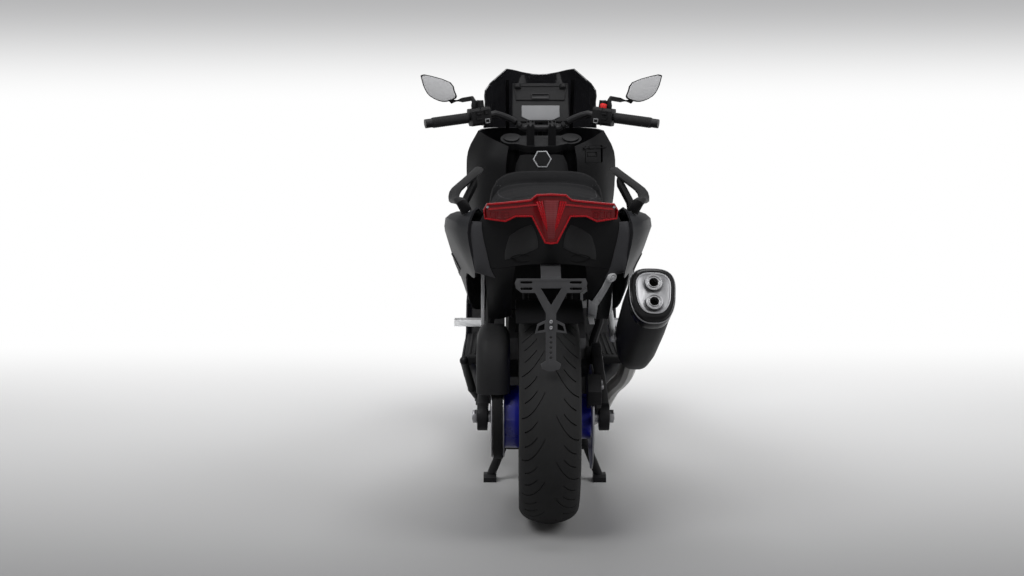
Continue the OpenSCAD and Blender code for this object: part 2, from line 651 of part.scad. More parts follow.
// Each leg goes on from the chin's edge, past a narrow joint line
leg_from = 15;
leg_rows = concat(
    [[for (j = [leg_from:tail_nv]) tail_grid[tail_nu][j] + [0, 0.6, -1.1]]],
    [for (r = [
        [[96, -140, 676], [132, -136, 664], [164, -106, 656]],
        [[99, -60, 616], [131, -60, 606], [164, -40, 604]],
        [[101, 5, 568], [128, 0, 560], [160, 5, 560]]]) curve(r, tail_nv - leg_from)]);
leg_grid = [for (i = [0:6]) [for (j = [0:tail_nv - leg_from]) curve_at([for (r = leg_rows) r[j]], i / 6)]];

module tail_cowl() color([0.12, 0.12, 0.13]) {
    thick_sheet(tail_grid, -panel_t);
    both_sides() thick_sheet(leg_grid, -panel_t);
}

// Hips: rows from front to back, each from its top edge down, on the right side
hip = hip_w / 2;
hip_rows = [
    [[84, 838, 690], [118, 842, 660], [150, 848, 570], [158, 852, 470]],
    [[160, 650, 762], [204, 650, 722], [226, 655, 620], [216, 660, 492]],
    [[182, 400, 796], [246, 395, 778], [266, 395, 690], [226, 400, 566]],
    [[176, 150, 824], [250, 150, 834], [hip, 145, 792], [224, 140, 664]],
    [[170, -60, 848], [224, -60, 850], [254, -60, 806], [198, -54, 676]],
    [[186, -150, 872], [198, -158, 860], [212, -164, 806], [194, -146, 706]]];
hip_grid = sheet_grid(hip_rows, 16, 9);

module side_panels() color([0.11, 0.11, 0.12]) both_sides() thick_sheet(hip_grid, -panel_t);

// Blade-like rails: each has a foot on the hip beside the seat and one at the back
module grab_rails() color([0.07, 0.07, 0.075]) both_sides() {
    swept_bar([[194, 350, 938], [202, 280, 932], [228, 160, 914], [250, 62, 897], [251, -6, 878],
        above(hip_grid, 0.87, 0.3, 34), above(hip_grid, 0.87, 0.3, 0.8)], 15, 15, 9);
    swept_bar([[207, 250, 921], [205, 236, 903], above(hip_grid, 0.56, 0.2, 30), above(hip_grid, 0.56, 0.2, 0.8)], 6,
        11, 16);
}

module rear_mudguard() color([0.06, 0.06, 0.065]) {
    translate([0, 0, rear_z]) rotate([0, -90, 0]) rotate([0, 0, -28]) translate([0, 0, -88])
        rotate_extrude(angle = 80, $fn = 120) translate([rear_r + 24, 0]) square([4, 176]);
    for (s = [-1, 1]) translate([s * 60, 150, rear_z + 270]) cylinder(r = 9, h = 640 - seat_gap - rear_z - 270);
}

plate_y = -tail_reach - 4;

// Bracket for a number plate: arm from the frame, slotted head, V and a lower strip
slot_x = 62;
slot_z = [675.5, 691.5];

module plate_bracket() color([0.14, 0.14, 0.15]) {
    across(-25, 25) polygon([[-142, 767.7], [-116, 767.7], [-116, 744], [-150, 722], [-196, 706],
        [plate_y + 2, 676], [plate_y + 2, 704], [-206, 724.5], [-186, 730], [-150, 742]]);
    along(plate_y, plate_y + 4) difference() {
        polygon([[-86, 701], [86, 701], [91, 690], [88, 676], [74, 665], [40, 665], [13, 613], [13, 596], [34, 586],
            [40, 562], [13, 566], [13, 492], [26, 484], [22, 472], [8, 466], [-8, 466], [-22, 472], [-26, 484],
            [-13, 492], [-13, 566], [-40, 562], [-34, 586], [-13, 596], [-13, 613], [-40, 665], [-74, 665],
            [-88, 676], [-91, 690]]);
        polygon([[-27, 678], [27, 678], [0, 634]]);
        for (s = [-1, 1]) {
            polygon([[s * 16, 588], [s * 30, 581], [s * 34, 568], [s * 16, 571]]);
            for (z = slot_z) translate([s * slot_x, z]) slot_outline(24, 3.3);
        }
        for (z = [500:13:552]) translate([0, z]) circle(r = 4, $fn = 24);
    }
}

module slot_outline(length, r) {
    square([length, 2 * r], center = true);
    for (s = [-1, 1]) translate([s * length / 2, 0]) circle(r = r, $fn = 24);
}

// Floor and front body

tunnel_rows = [for (r = [
    [[0, 715, 676], [55, 715, 668], [98, 715, 600], [113, 715, floor_h + 0.5]],
    [[0, 820, 655], [58, 820, 648], [102, 820, 585], [113, 820, floor_h + 0.5]],
    [[0, 905, 665], [60, 912, 655], [104, 940, 590], [113, 960, floor_h + 0.5]],
    [[0, 968, 735], [58, 985, 728], [100, 1060, 660], [113, 1130, 420]],
    [[0, 1000, 850], [52, 1020, 845], [92, 1085, 800], [108, 1180, 580]],
    [[0, 1016, 945], [45, 1034, 948], [80, 1078, 930], [102, 1150, 800]]]) full_row(r)];
tunnel_grid = sheet_grid(tunnel_rows, 12, 14);

module tunnel() color([0.1, 0.1, 0.11]) thick_sheet(tunnel_grid, panel_t);

shield = shield_w / 2;

module footboards() color([0.06, 0.06, 0.065]) both_sides()
    floorboard();

board_in = 122;
board_out = shield - panel_t - 1.6;

module floorboard() {
    across(106, board_in + 1) polygon(side_view([[640, floor_h - floor_t], [800, floor_h - floor_t], [800, floor_h],
        [640, floor_h]]));
    across(board_in, board_out) polygon(side_view([[612, floor_h - floor_t], [1080, floor_h - floor_t],
        [1070, floor_h], [612, floor_h]]));
    across(board_in, board_out - 12) polygon(side_view([[1060, floor_h - floor_t], [1088, floor_h - floor_t],
        [1232, floor_h + 162], [1216, floor_h + 177], [1078, floor_h], [1060, floor_h]]));
}

shield_rows = [
    [[110, 1105, 972], [165, 1140, 996], [212, 1228, 1020]],
    [[118, 1098, 915], [190, 1122, 930], [shield - 5, 1218, 950]],
    [[118, 1110, 850], [200, 1145, 855], [shield, 1243, 860]],
    [[119, 1140, 750], [205, 1175, 755], [shield - 6, 1283, 760]],
    [[119, 1190, 640], [196, 1222, 640], [222, 1323, 640]],
    [[119, 1226, 540], [180, 1238, 538], [218, 1298, 537]]];
shield_grid = sheet_grid(shield_rows, 15, 7);

// The glove box opening on the right: a box across the sheet, grown by g, and by side at its outer edge
module glovebox_cut(g, side) along(1000 + fore, 1400 + fore) polygon([[146 - 2 * g, 918 - g], [146 - 2 * g, 972 + g],
    [198 + side, 972 + g], [198 + side, 918 - g]]);

// The lid hangs on a pin in front of its upper edge
lid_pin_r = 2;
lid_axis = unit([0.822, 0.57, 0]);
lid_out = [lid_axis.y, -lid_axis.x, 0];
lid_mid = [167, 1122.5 + fore, 966];

module leg_shield() color([0.1, 0.1, 0.11]) {
    difference() {
        both_sides() thick_sheet(shield_grid, -panel_t);
        glovebox_cut(1, 6.5);
    }
    rod(lid_mid - 31 * lid_axis, lid_mid + 59 * lid_axis, lid_pin_r);
    for (a = [[-28, 11], [56, 15]]) rod(lid_mid + a[0] * lid_axis + 3 * lid_out,
        lid_mid + a[0] * lid_axis - a[1] * lid_out, 3.5);
}

module glovebox_lid() color([0.12, 0.12, 0.13]) difference() {
    union() {
        intersection() {
            thick_sheet(grid_part(shield_grid, 0, 5, 0, 7), -panel_t);
            glovebox_cut(0, 0);
        }
        rod(lid_mid - 12 * lid_axis, lid_mid + 10 * lid_axis, 4.5);
    }
    rod(lid_mid - 60 * lid_axis, lid_mid + 60 * lid_axis, lid_pin_r + running_gap);
}

// Pocket behind the opening
module glovebox() color([0.05, 0.05, 0.055]) difference() {
    translate([0, fore, 910]) linear_extrude(height = 70)
        polygon([[140, 1108], [206, 1146], [206, 1194], [174, 1186], [140, 1140]]);
    translate([0, fore, 914]) linear_extrude(height = 62)
        polygon([[144, 1098], [202, 1132], [202, 1190], [176, 1182], [144, 1138]]);
    thick_sheet(grid_part(moved_grid(shield_grid, -panel_t - 0.4), 0, 6, 0, 7), 50);
}

fairing_rows = [
    [[224, 1336, 634], [221, 1326, 560], [210, 1312, 480]],
    [[243, 1268, floor_h + 184], [242, 1258, floor_h + 88], [214, 1238, floor_h - 12]],
    [[shield, 1164, floor_h + 104], [shield - 4, 1152, floor_h - 2], [204, 1132, floor_h - 116]],
    [[shield, 1076, floor_h], [shield - 5, 1060, floor_h - 72], [194, 1042, floor_h - 156]],
    [[shield, 850, floor_h], [shield - 6, 850, floor_h - 80], [190, 850, floor_h - 162]],
    [[shield, 614, floor_h], [shield - 7, 614, floor_h - 62], [204, 614, floor_h - 126]]];
fairing_grid = sheet_grid(fairing_rows, 12, 6);

module lower_fairings() color([0.1, 0.1, 0.11]) both_sides() thick_sheet(fairing_grid, -panel_t);

cowl_rows = [for (r = [
    [[0, 1700, 640], [112, 1640, 640], [196, 1510, 640], [222, 1330, 640]],
    [[0, 1782, 726], [118, 1694, 730], [212, 1530, 736], [shield - 8, 1298, 740]],
    [[0, 1820, 790], [116, 1714, 796], [220, 1530, 804], [shield - 2, 1270, 810]],
    [[0, 1778, 872], [120, 1690, 876], [222, 1510, 880], [shield, 1246, 876]],
    [[0, 1706, 950], [124, 1648, 950], [214, 1484, 950], [shield - 5, 1225, 950]],
    [[0, 1640, 1020], [120, 1590, 1020], [195, 1440, 1020], [212, 1235, 1020]]]) full_row(r)];
cowl_grid = sheet_grid(cowl_rows, 12, 24);

module front_cowl() color([0.11, 0.11, 0.12]) thick_sheet(cowl_grid, -panel_t);

// Lamp outline seen from the front, right side
headlamp_outline = [[60, 776], [70, 764], [128, 792], [186, 850], [180, 864], [118, 846], [66, 812]];

module headlamps() color([0.75, 0.78, 0.82]) both_sides() intersection() {
    thick_sheet(grid_part(moved_grid(cowl_grid, 3 * seat_gap), 2, 8, 12, 21), 4);
    along(1400 + fore, 1900 + fore) polygon(headlamp_outline);
}

screen_rows = [for (r = [
    [[0, 1638.5, 1022.2], [120, 1588.5, 1022.2], [180, 1500, 1022.2], [198, 1425, 1022.2]],
    [[0, 1560, 1106], [88, 1540, 1106], [160, 1460, 1106], [193, 1385, 1104]],
    [[0, 1500, 1166], [86, 1484, 1166], [152, 1418, 1166], [188, 1352, 1162]],
    [[0, 1458, 1209], [50, 1452, 1214], [92, 1426, 1224], [118, 1390, screen_h]]]) full_row(r)];
screen_grid = sheet_grid(screen_rows, 8, 14);

module windscreen() color([0.15, 0.16, 0.18]) thick_sheet(screen_grid, -4);

dash_low = 1042;
display_tilt = 50.6;
display_foot = [0, 1294.3 + fore, 1051.3];

module dash() color([0.06, 0.06, 0.065]) {
    across(-98, 98) polygon(side_view([[1298, dash_low], [1292, 1048.4], [1337, 1103.2], [1350, 1112], [1402, 1176],
        [1422, 1178], [1430, dash_low]]));
}

module display() color([0.42, 0.43, 0.45]) translate(display_foot) rotate([display_tilt, 0, 0])
    linear_extrude(height = 3) polygon([[-40, 0], [40, 0], [65, 15], [65, 63.5], [-65, 63.5], [-65, 15]]);

// Steering

clamp_low = 520;
clamp_high = 775;
fork_x = fork_spread / 2;
tube_r = fork_tube_d / 2;
leg_r = fork_leg_d / 2;
fit = 0.05;

module clamp_plate(z, t) translate([0, 0, z]) linear_extrude(height = t) difference() {
    union() {
        for (s = [-1, 1]) translate([s * fork_x, 0]) circle(r = tube_r + 10);
        polygon([[-fork_x, -30], [-40, -fork_offset - 24], [40, -fork_offset - 24], [fork_x, -30], [fork_x, 20],
            [-fork_x, 20]]);
    }
    for (s = [-1, 1]) translate([s * fork_x, 0]) circle(r = tube_r + fit);
}

module triple_clamp() steering_frame() color([0.2, 0.2, 0.21]) difference() {
    union() {
        clamp_plate(clamp_low, 32);
        clamp_plate(clamp_high, 25);
        translate([0, -fork_offset, clamp_low + 1]) cylinder(r = stem_r, h = clamp_high - clamp_low + 10);
        for (s = [-1, 1]) across(s * 36 - 13, s * 36 + 13)
            polygon([[-fork_offset - 18, clamp_high + 24], [-fork_offset + 18, clamp_high + 24],
                [-fork_offset + 18, bar_rise + 17], [-fork_offset - 18, bar_rise + 17]]);
    }
    translate([-100, -fork_offset, bar_rise]) rotate([0, 90, 0]) cylinder(r = bar_d / 2 + fit, h = 200);
}

module fork_legs() steering_frame() both_sides() color([0.12, 0.12, 0.13]) difference() {
    union() {
        translate([fork_x, 0, 250]) cylinder(r = tube_r, h = clamp_high + 30 - 250);
        cylinder_between_leg();
        cross_bar(0, 0, 24, fork_x - 22, fork_x + 24);
    }
    cross_bar(0, 0, front_axle_d / 2 + fit, 0, 300);
}

module cylinder_between_leg() translate([fork_x, 0, 8]) cylinder(r = leg_r, h = 244);

module front_axle() on_axle(wheelbase, front_z) color([0.5, 0.5, 0.52]) {
    translate([0, 0, -fork_x - 28]) cylinder(r = front_axle_d / 2, h = 2 * fork_x + 56);
    for (s = [-1, 1]) translate([0, 0, s * (fork_x + 31) - 6.5]) cylinder(r = 14, h = 13, $fn = 6);
    for (x = [front_hub + 0.7, -fork_x + 22 + seat_gap]) translate([0, 0, x])
        cylinder(r = 14, h = fork_x - 22 - seat_gap - front_hub - 0.7);
}

front_hub = 64;

module front_rim() on_axle(wheelbase, front_z) color([0.02, 0.03, 0.55])
    rim(front_rim_half, [[46, -front_hub, front_hub]], front_axle_d / 2 + running_gap, 34);

module front_tyre() on_axle(wheelbase, front_z) tyre(front_tyre_w, front_r, front_rim_half, 37);

module front_discs() on_axle(wheelbase, front_z) color([0.7, 0.7, 0.72])
    for (x = [front_hub, -front_hub - disc_t]) brake_disc(front_disc_d / 2, 30, x);

function fender_outline(g) = [for (a = [-90:10:90]) [front_r + 12 + g - 40 * (1 - cos(a)),
    (front_tyre_w / 2 + 6 + g * 0.9) * sin(a)]];

module front_fender() color([0.1, 0.1, 0.11]) {
    inner = fender_outline(0);
    outer = fender_outline(3.5);
    on_axle(wheelbase, front_z) rotate(122) rotate_extrude(angle = 130, $fn = 120)
        polygon(concat(outer, [for (i = [len(inner) - 1:-1:0]) inner[i]]));
    steering_frame() for (s = [-1, 1]) {
        x = (front_tyre_w / 2 + fork_x - tube_r) / 2 + 1;
        across(s * (x + 1.4) - 3.2, s * (x + 1.4) + 3.2)
            polygon([[-15, 252], [15, 252], [15, 280], [-15, 280]]);
    }
}

module front_calipers() steering_frame() both_sides() color([0.08, 0.08, 0.09]) difference() {
    union() {
        across(52, 83) polygon([[-46, 112], [-46, 62], [-96, 22], [-130, 44], [-120, 98], [-82, 130]]);
        across(74, 98) polygon([[-50, 64], [-leg_r - seat_gap, 64], [-leg_r - seat_gap, 108], [-50, 108]]);
    }
    cross_bar(0, 0, front_disc_d / 2 + 6, front_hub - 5, front_hub + disc_t + 5);
}

// Handlebar: the grip line runs from bar_bend to bar_tip
bar_mid = steering_point([0, -fork_offset, bar_rise]);
bar_tip = [bar_half_w, bar_mid.y - 84.7, bar_mid.z + 18.3];
bar_bend = [150, bar_mid.y - 18.2, bar_mid.z + 47.5];
grip_axis = unit(bar_tip - bar_bend);
grip_fore = unit([-grip_axis.y, grip_axis.x, 0]);
grip_down = cross(grip_fore, grip_axis);

function grip_point(p) = bar_bend + p.x * grip_down + p.y * grip_fore + p.z * grip_axis;

// Local frame of the right grip: X down, Y forward, Z out along the bar
module on_grip() translate(bar_bend) rotate([0, acos(grip_axis.z), atan2(grip_axis.y, grip_axis.x)]) children();

module handlebar() color([0.12, 0.12, 0.13]) {
    right = concat([for (p = [[26, 0, 0], [52, 0, 0], [60, 0, 1.2], [72, -1, 8], [100, -5, 29]])
        [p.x, bar_mid.y + p.y, bar_mid.z + p.z]], [bar_bend, bar_bend + 30 * grip_axis, bar_tip]);
    left = [for (i = [len(right) - 1:-1:0]) [-right[i].x, right[i].y, right[i].z]];
    swept_bar(concat(left, right), 45, bar_d / 2, bar_d / 2);
    both_sides() rod(bar_bend + 222.6 * grip_axis, bar_bend + 246 * grip_axis, 15);
}

module grips() both_sides() on_grip() color([0.04, 0.04, 0.045]) difference() {
    translate([0, 0, 97]) cylinder(r = 17, h = 125);
    cylinder(r = bar_d / 2 + fit, h = 300);
}

module switchgear() both_sides() on_grip() color([0.07, 0.07, 0.075]) difference() {
    union() {
        translate([0, 0, 26]) linear_extrude(height = 66) polygon([[-28, -22], [-20, -30], [20, -30], [29, -20],
            [29, 22], [20, 30], [-20, 30], [-28, 22]]);
        translate([0, 0, 42]) linear_extrude(height = 46) polygon([[-14, 29], [14, 29], [14, 46], [-14, 46]]);
        translate([-50, 30, 48]) rotate([0, 90, 0]) cylinder(r = 17, h = 40);
    }
    translate([0, 0, -10]) cylinder(r = bar_d / 2 + fit, h = 300);
}

module brake_levers() both_sides() on_grip() color([0.75, 0.76, 0.78]) {
    bent_rod([[0, 46 + 7.5, 62], [0, 62, 92], [2, 60, 212]], 6.5);
    translate([0, 46 + 7.5, 62]) sphere(7.2);
    translate([2, 60, 212]) sphere(9);
}

mirror_outline = [[404, 1204], [384, 1207], [305, 1183], [288, 1150], [283, 1130], [310, 1118], [338, 1118],
    [374, 1136], [393, 1165]];
mirror_y = bar_mid.y + 14;
mirror_mid = [346, 1162];

// Rings of the shell from its front to the glass: [distance before the glass, size]
mirror_rings = [[30, 0.3], [26, 0.62], [16, 0.92], [5, 1], [0, 0.985]];
mirror_edge = [for (i = [0:21]) curve_at(concat(mirror_outline, [mirror_outline[0]]), i / 22)];

module mirrors() both_sides() color([0.07, 0.07, 0.075]) {
    foot = grip_point([-28 - 9.3, 4, 74]);
    loft([for (s = mirror_rings) [for (p = mirror_edge) let (q = mirror_mid + s[1] * (p - mirror_mid))
        [q.x, mirror_y + s[0], q.y]]]);
    swept_bar([grip_point([-28.4, 4, 74]), foot, foot + [4, 14, 24], [300, mirror_y + 18, 1118],
        [324, mirror_y + 14, 1150]], 8, 8, 8);
}

module mirror_glass() both_sides() color([0.75, 0.77, 0.8])
    along(mirror_y - 2.3, mirror_y - seat_gap)
        polygon([for (p = mirror_edge) mirror_mid + 0.92 * (p - mirror_mid)]);

// Stands

foot_x = 164;
foot_y = stand_pivot_y + 40;

module centre_stand() color([0.09, 0.09, 0.1]) difference() {
    union() {
        cross_bar(stand_pivot_y, stand_pivot_z, 16, pulley_left + 4, engine_right - 5);
        for (s = [-1, 1]) {
            rod([s * 84, stand_pivot_y, stand_pivot_z], [s * (foot_x - 2), foot_y - 1, 16], 13);
            across(s * foot_x - 19, s * foot_x + 19) polygon([[foot_y - 26, 0], [foot_y + 32, 0], [foot_y + 32, 8],
                [foot_y + 18, 22], [foot_y - 20, 22], [foot_y - 26, 14]]);
        }
        rod([-122, foot_y - 20, 110], [122, foot_y - 20, 110], 10);
    }
    cross_bar(stand_pivot_y, stand_pivot_z, stand_pin_r + running_gap, -300, 300);
}

side_tip = side_pivot + [-42, -154.6, 144];

module side_stand() color([0.09, 0.09, 0.1]) difference() {
    union() {
        rod(side_pivot - 10 * side_axis, side_pivot + 10 * side_axis, 20);
        bent_rod([side_pivot, side_pivot + [-22, -46, 40], side_tip], 12);
        translate(side_tip) sphere(13);
    }
    rod(side_pivot - 60 * side_axis, side_pivot + 60 * side_axis, side_pin_r + running_gap);
}

placed() frame();
placed() rear_frame();
placed() seat_rails();
placed() tail_bar();
placed() engine();
placed() radiator();
placed() swingarm();
placed() rear_axle();
placed() drive_belt();
placed() belt_cover();
placed() rear_caliper();
placed() exhaust_pipe();
placed() muffler();
placed() muffler_cap();
placed() footrest_brackets();
placed() rear_mudguard();
placed() storage_tub();
placed() tail_cowl();
placed() tail_lamp();
placed() side_panels();
placed() grab_rails();
placed() plate_bracket();
placed() tunnel();
placed() footboards();
placed() leg_shield();
placed() glovebox();
placed() lower_fairings();
placed() front_cowl();
placed() headlamps();
placed() windscreen();
placed() dash();
placed() display();
placed() triple_clamp();
placed() fork_legs();
placed() front_axle();
placed() front_fender();
placed() front_calipers();
placed() handlebar();
placed() grips();
placed() switchgear();
placed() brake_levers();
placed() mirrors();
placed() mirror_glass();
placed() front_rim();
placed() front_tyre();
placed() front_discs();
placed() rear_rim();
placed() rear_tyre();
placed() rear_disc();
placed() rear_pulley();
placed() seat_pan();
placed() seat();
placed() glovebox_lid();
placed() centre_stand();
placed() side_stand();
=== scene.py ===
"""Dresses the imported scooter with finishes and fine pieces, for a view from straight behind."""
import math

import bmesh
import bpy
from mathutils import Matrix, Vector
from mathutils.bvhtree import BVHTree


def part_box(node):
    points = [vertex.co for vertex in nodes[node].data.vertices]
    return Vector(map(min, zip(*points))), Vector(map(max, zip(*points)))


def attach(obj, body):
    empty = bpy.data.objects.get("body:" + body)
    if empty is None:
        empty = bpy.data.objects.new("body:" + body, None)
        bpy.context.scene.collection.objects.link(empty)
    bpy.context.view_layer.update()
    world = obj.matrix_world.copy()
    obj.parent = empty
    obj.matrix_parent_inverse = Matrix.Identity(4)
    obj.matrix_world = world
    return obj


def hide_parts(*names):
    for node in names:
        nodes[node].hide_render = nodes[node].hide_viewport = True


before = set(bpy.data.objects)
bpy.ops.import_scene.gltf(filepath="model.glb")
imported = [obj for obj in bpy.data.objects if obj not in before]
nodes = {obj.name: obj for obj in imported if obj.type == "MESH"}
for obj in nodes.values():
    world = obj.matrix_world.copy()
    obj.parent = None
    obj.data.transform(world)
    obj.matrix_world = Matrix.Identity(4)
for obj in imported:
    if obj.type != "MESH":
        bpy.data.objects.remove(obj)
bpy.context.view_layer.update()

MM = 0.001
SAME_POINT = 0.00002  # points nearer than this, in metres, are one
SIDES = (("left", -1), ("right", 1))
UP, BACK = (0, 0, 1), (0, -1, 0)
rear_low, rear_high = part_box("rear_tyre")
front_low, front_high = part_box("front_tyre")
REAR_AXLE = (rear_low + rear_high) / 2
FRONT_AXLE = (front_low + front_high) / 2


def at(x, y, z):
    """A point in millimetres, with y measured forward from the rear axle, as a point of the frame."""
    return Vector((x * MM, REAR_AXLE.y + y * MM, z * MM))


# Shader expressions


class Value:
    """A shader socket that takes part in Python arithmetic."""

    def __init__(self, finish, socket):
        self.finish = finish
        self.socket = socket

    def _math(self, operation, first, second):
        return self.finish.node("Math", {"operation": operation}, {0: first, 1: second})

    def __add__(self, other):
        return self._math("ADD", self, other)

    def __radd__(self, other):
        return self._math("ADD", other, self)

    def __sub__(self, other):
        return self._math("SUBTRACT", self, other)

    def __rsub__(self, other):
        return self._math("SUBTRACT", other, self)

    def __mul__(self, other):
        return self._math("MULTIPLY", self, other)

    def __rmul__(self, other):
        return self._math("MULTIPLY", other, self)

    def __truediv__(self, other):
        return self._math("DIVIDE", self, other)

    def __pow__(self, other):
        return self._math("POWER", self, other)

    def smallest(self, other):
        return self._math("MINIMUM", self, other)

    def largest(self, other):
        return self._math("MAXIMUM", self, other)

    def wave(self):
        return self._math("SINE", self, 0.0)

    def clamped(self, low, high):
        """0 below low, 1 above high, smooth between."""
        return self.finish.node("MapRange", {"interpolation_type": "SMOOTHSTEP"},
                                {"Value": self, "From Min": low, "From Max": high})


class Finish:
    """One material, with the nodes that make it."""

    def __init__(self, name, **shader):
        self.material = bpy.data.materials.new(name)
        self.material.use_nodes = True
        self.tree = self.material.node_tree
        self.shader = self.tree.nodes["Principled BSDF"]
        for socket, value in shader.items():
            self.set(socket.replace("_", " "), value)

    def node(self, kind, settings=None, inputs=None, output=0):
        """Adds a node of that kind, makes its settings, then gives its inputs their values or links."""
        made = self.tree.nodes.new("ShaderNode" + kind)
        for key, value in (settings or {}).items():
            setattr(made, key, value)
        for key, value in (inputs or {}).items():
            self._feed(made.inputs[key], value)
        return Value(self, made.outputs[output])

    def _feed(self, socket, value):
        if isinstance(value, Value):
            self.tree.links.new(value.socket, socket)
        elif socket.type == "RGBA" and len(value) == 3:
            socket.default_value = (*value, 1.0)
        else:
            socket.default_value = value

    def set(self, socket, value):
        self._feed(self.shader.inputs[socket], value)

    def place(self):
        return self.node("TexCoord", output=3)

    def axes(self):
        """The x, y and z of the surface point, in metres."""
        split = self.node("SeparateXYZ", None, {0: self.place()})
        return [Value(self, output) for output in split.socket.node.outputs]

    def noise(self, scale, detail=3.0, rough=0.55, stretch=None):
        vector = self.place()
        if stretch:
            vector = self.node("Mapping", None, {"Vector": vector, "Scale": stretch})
        return self.node("TexNoise", None, {"Vector": vector, "Scale": scale, "Detail": detail, "Roughness": rough})

    def cells(self, scale, feature="F1", output=0):
        return self.node("TexVoronoi", {"feature": feature}, {"Vector": self.place(), "Scale": scale}, output)

    def mix(self, factor, first, second):
        """A colour between two colours."""
        return self.node("Mix", {"data_type": "RGBA"}, {0: factor, 6: first, 7: second}, output=2)

    def edges(self):
        """Near 1 along sharp edges, for wear, and 0 on flat faces."""
        bevelled = self.node("Bevel", {"samples": 6}, {"Radius": 0.003})
        normal = self.node("NewGeometry", output=1)
        alike = self.node("VectorMath", {"operation": "DOT_PRODUCT"}, {0: bevelled, 1: normal}, output=1)
        return (1.0 - alike).clamped(0.02, 0.35)

    def bump(self, height, strength, distance):
        self.set("Normal", self.node("Bump", None, {"Height": height, "Strength": strength, "Distance": distance}))


# Finishes


def shade(colour, factor):
    """A colour made darker or lighter."""
    return tuple(c * factor for c in colour)


def satin_paint():
    """Dark body paint with fine flakes under a thin satin coat."""
    colour = (0.022, 0.0225, 0.025)
    f = Finish("satin_paint", Coat_Weight=0.06, Coat_Roughness=0.22, IOR=1.07)
    flake = f.cells(2600.0, output=1)
    tone = f.node("SeparateColor", None, {0: flake})
    cloud = f.noise(9.0)
    f.set("Base Color", f.mix(tone * 0.35 + cloud * 0.25, shade(colour, 0.82), shade(colour, 1.35)))
    f.set("Roughness", 0.34 + cloud * 0.08 + tone * 0.05)
    f.bump(f.noise(420.0, 2.0), 0.06, 0.0004)
    return f.material


def moulded_plastic(name, colour, rough, grain, depth):
    """Moulded plastic with a fine leather-like grain, and edges rubbed a little smoother."""
    f = Finish(name, IOR=1.22)
    pebble = f.cells(grain, "SMOOTH_F1")
    cloud = f.noise(14.0)
    worn = f.edges()
    f.set("Base Color", f.mix((cloud * 0.5 + worn * 0.6).smallest(1.0), shade(colour, 0.8), shade(colour, 1.6)))
    f.set("Roughness", rough + cloud * 0.1 - worn * 0.12)
    f.bump(pebble, depth, 0.0006)
    return f.material


def coated_metal(name, colour, rough, metallic=0.4):
    """Powder-coated or cast metal with a faint orange peel and brighter edges."""
    f = Finish(name, Metallic=metallic, Specular_IOR_Level=0.3)
    cloud = f.noise(30.0)
    fine = f.noise(700.0, 2.0)
    worn = f.edges()
    f.set("Base Color", f.mix(cloud * 0.5 + worn * 0.5, shade(colour, 0.8), shade(colour, 1.7)))
    f.set("Roughness", rough + cloud * 0.12 - worn * 0.1)
    f.bump(fine, 0.16, 0.0005)
    return f.material


def brushed_metal(name, colour, rough, stretch):
    """Bare metal with fine lines along one direction."""
    f = Finish(name, Metallic=1.0)
    line = f.noise(60.0, 4.0, 0.6, stretch)
    cloud = f.noise(18.0)
    f.set("Base Color", f.mix(line * 0.6 + cloud * 0.3, shade(colour, 0.72), shade(colour, 1.12)))
    f.set("Roughness", rough + line * 0.14)
    f.bump(line, 0.08, 0.0003)
    return f.material


def rubber(name, colour, rough):
    """Dull rubber, dustier in soft random patches."""
    f = Finish(name, Specular_IOR_Level=0.2)
    cloud = f.noise(22.0, 5.0)
    fine = f.noise(900.0, 2.0)
    f.set("Base Color", f.mix(cloud, shade(colour, 0.75), shade(colour, 1.4)))
    f.set("Roughness", rough + cloud * 0.14)
    f.bump(fine, 0.14, 0.0004)
    return f.material


def blue_enamel():
    """Deep blue gloss enamel on the cast rims."""
    f = Finish("blue_enamel", Metallic=0.2, Coat_Weight=0.5, Coat_Roughness=0.08)
    cloud = f.noise(26.0)
    f.set("Base Color", f.mix(cloud, (0.002, 0.004, 0.16), (0.004, 0.010, 0.34)))
    f.set("Roughness", 0.24 + cloud * 0.1)
    f.bump(f.noise(320.0, 2.0), 0.07, 0.0005)
    return f.material


def seat_leather():
    """Black seat vinyl: pebbled grain, slightly greyer where it is rubbed."""
    f = Finish("seat_leather", IOR=1.12)
    pebble = f.cells(620.0, "DISTANCE_TO_EDGE")
    rub = f.noise(7.0, 4.0)
    grain = pebble.clamped(0.0, 0.22)
    f.set("Base Color", f.mix(rub * 0.7 + grain * 0.2, (0.007, 0.007, 0.0075), (0.015, 0.015, 0.016)))
    f.set("Roughness", 0.66 + rub * 0.14 - grain * 0.06)
    f.bump(grain + f.noise(160.0) * 0.4, 0.28, 0.0007)
    return f.material


def seat_thread():
    """Dark grey sewing thread with a fine twist."""
    f = Finish("seat_thread", Specular_IOR_Level=0.2)
    x, y, z = f.axes()
    twist = ((x + y + z) * 9000.0).wave() * 0.5 + 0.5
    f.set("Base Color", f.mix(twist, (0.030, 0.030, 0.032), (0.062, 0.062, 0.066)))
    f.set("Roughness", 0.6 + twist * 0.15)
    return f.material


def red_lens(name, dark, light, fine):
    """Deep red lens with fine upright optics behind it."""
    f = Finish(name, Coat_Weight=0.16, Coat_Roughness=0.05, IOR=1.49, Specular_IOR_Level=0.1)
    x, y, z = f.axes()
    rib = (x * fine).wave() * 0.5 + 0.5
    row = (z * fine * 0.6).wave() * 0.5 + 0.5
    cloud = f.noise(24.0)
    f.set("Base Color", f.mix(rib * 0.35 + row * 0.2 + cloud * 0.35, dark, light))
    f.set("Roughness", 0.14 + rib * 0.1)
    f.bump(rib + row * 0.5, 0.2, 0.0006)
    return f.material


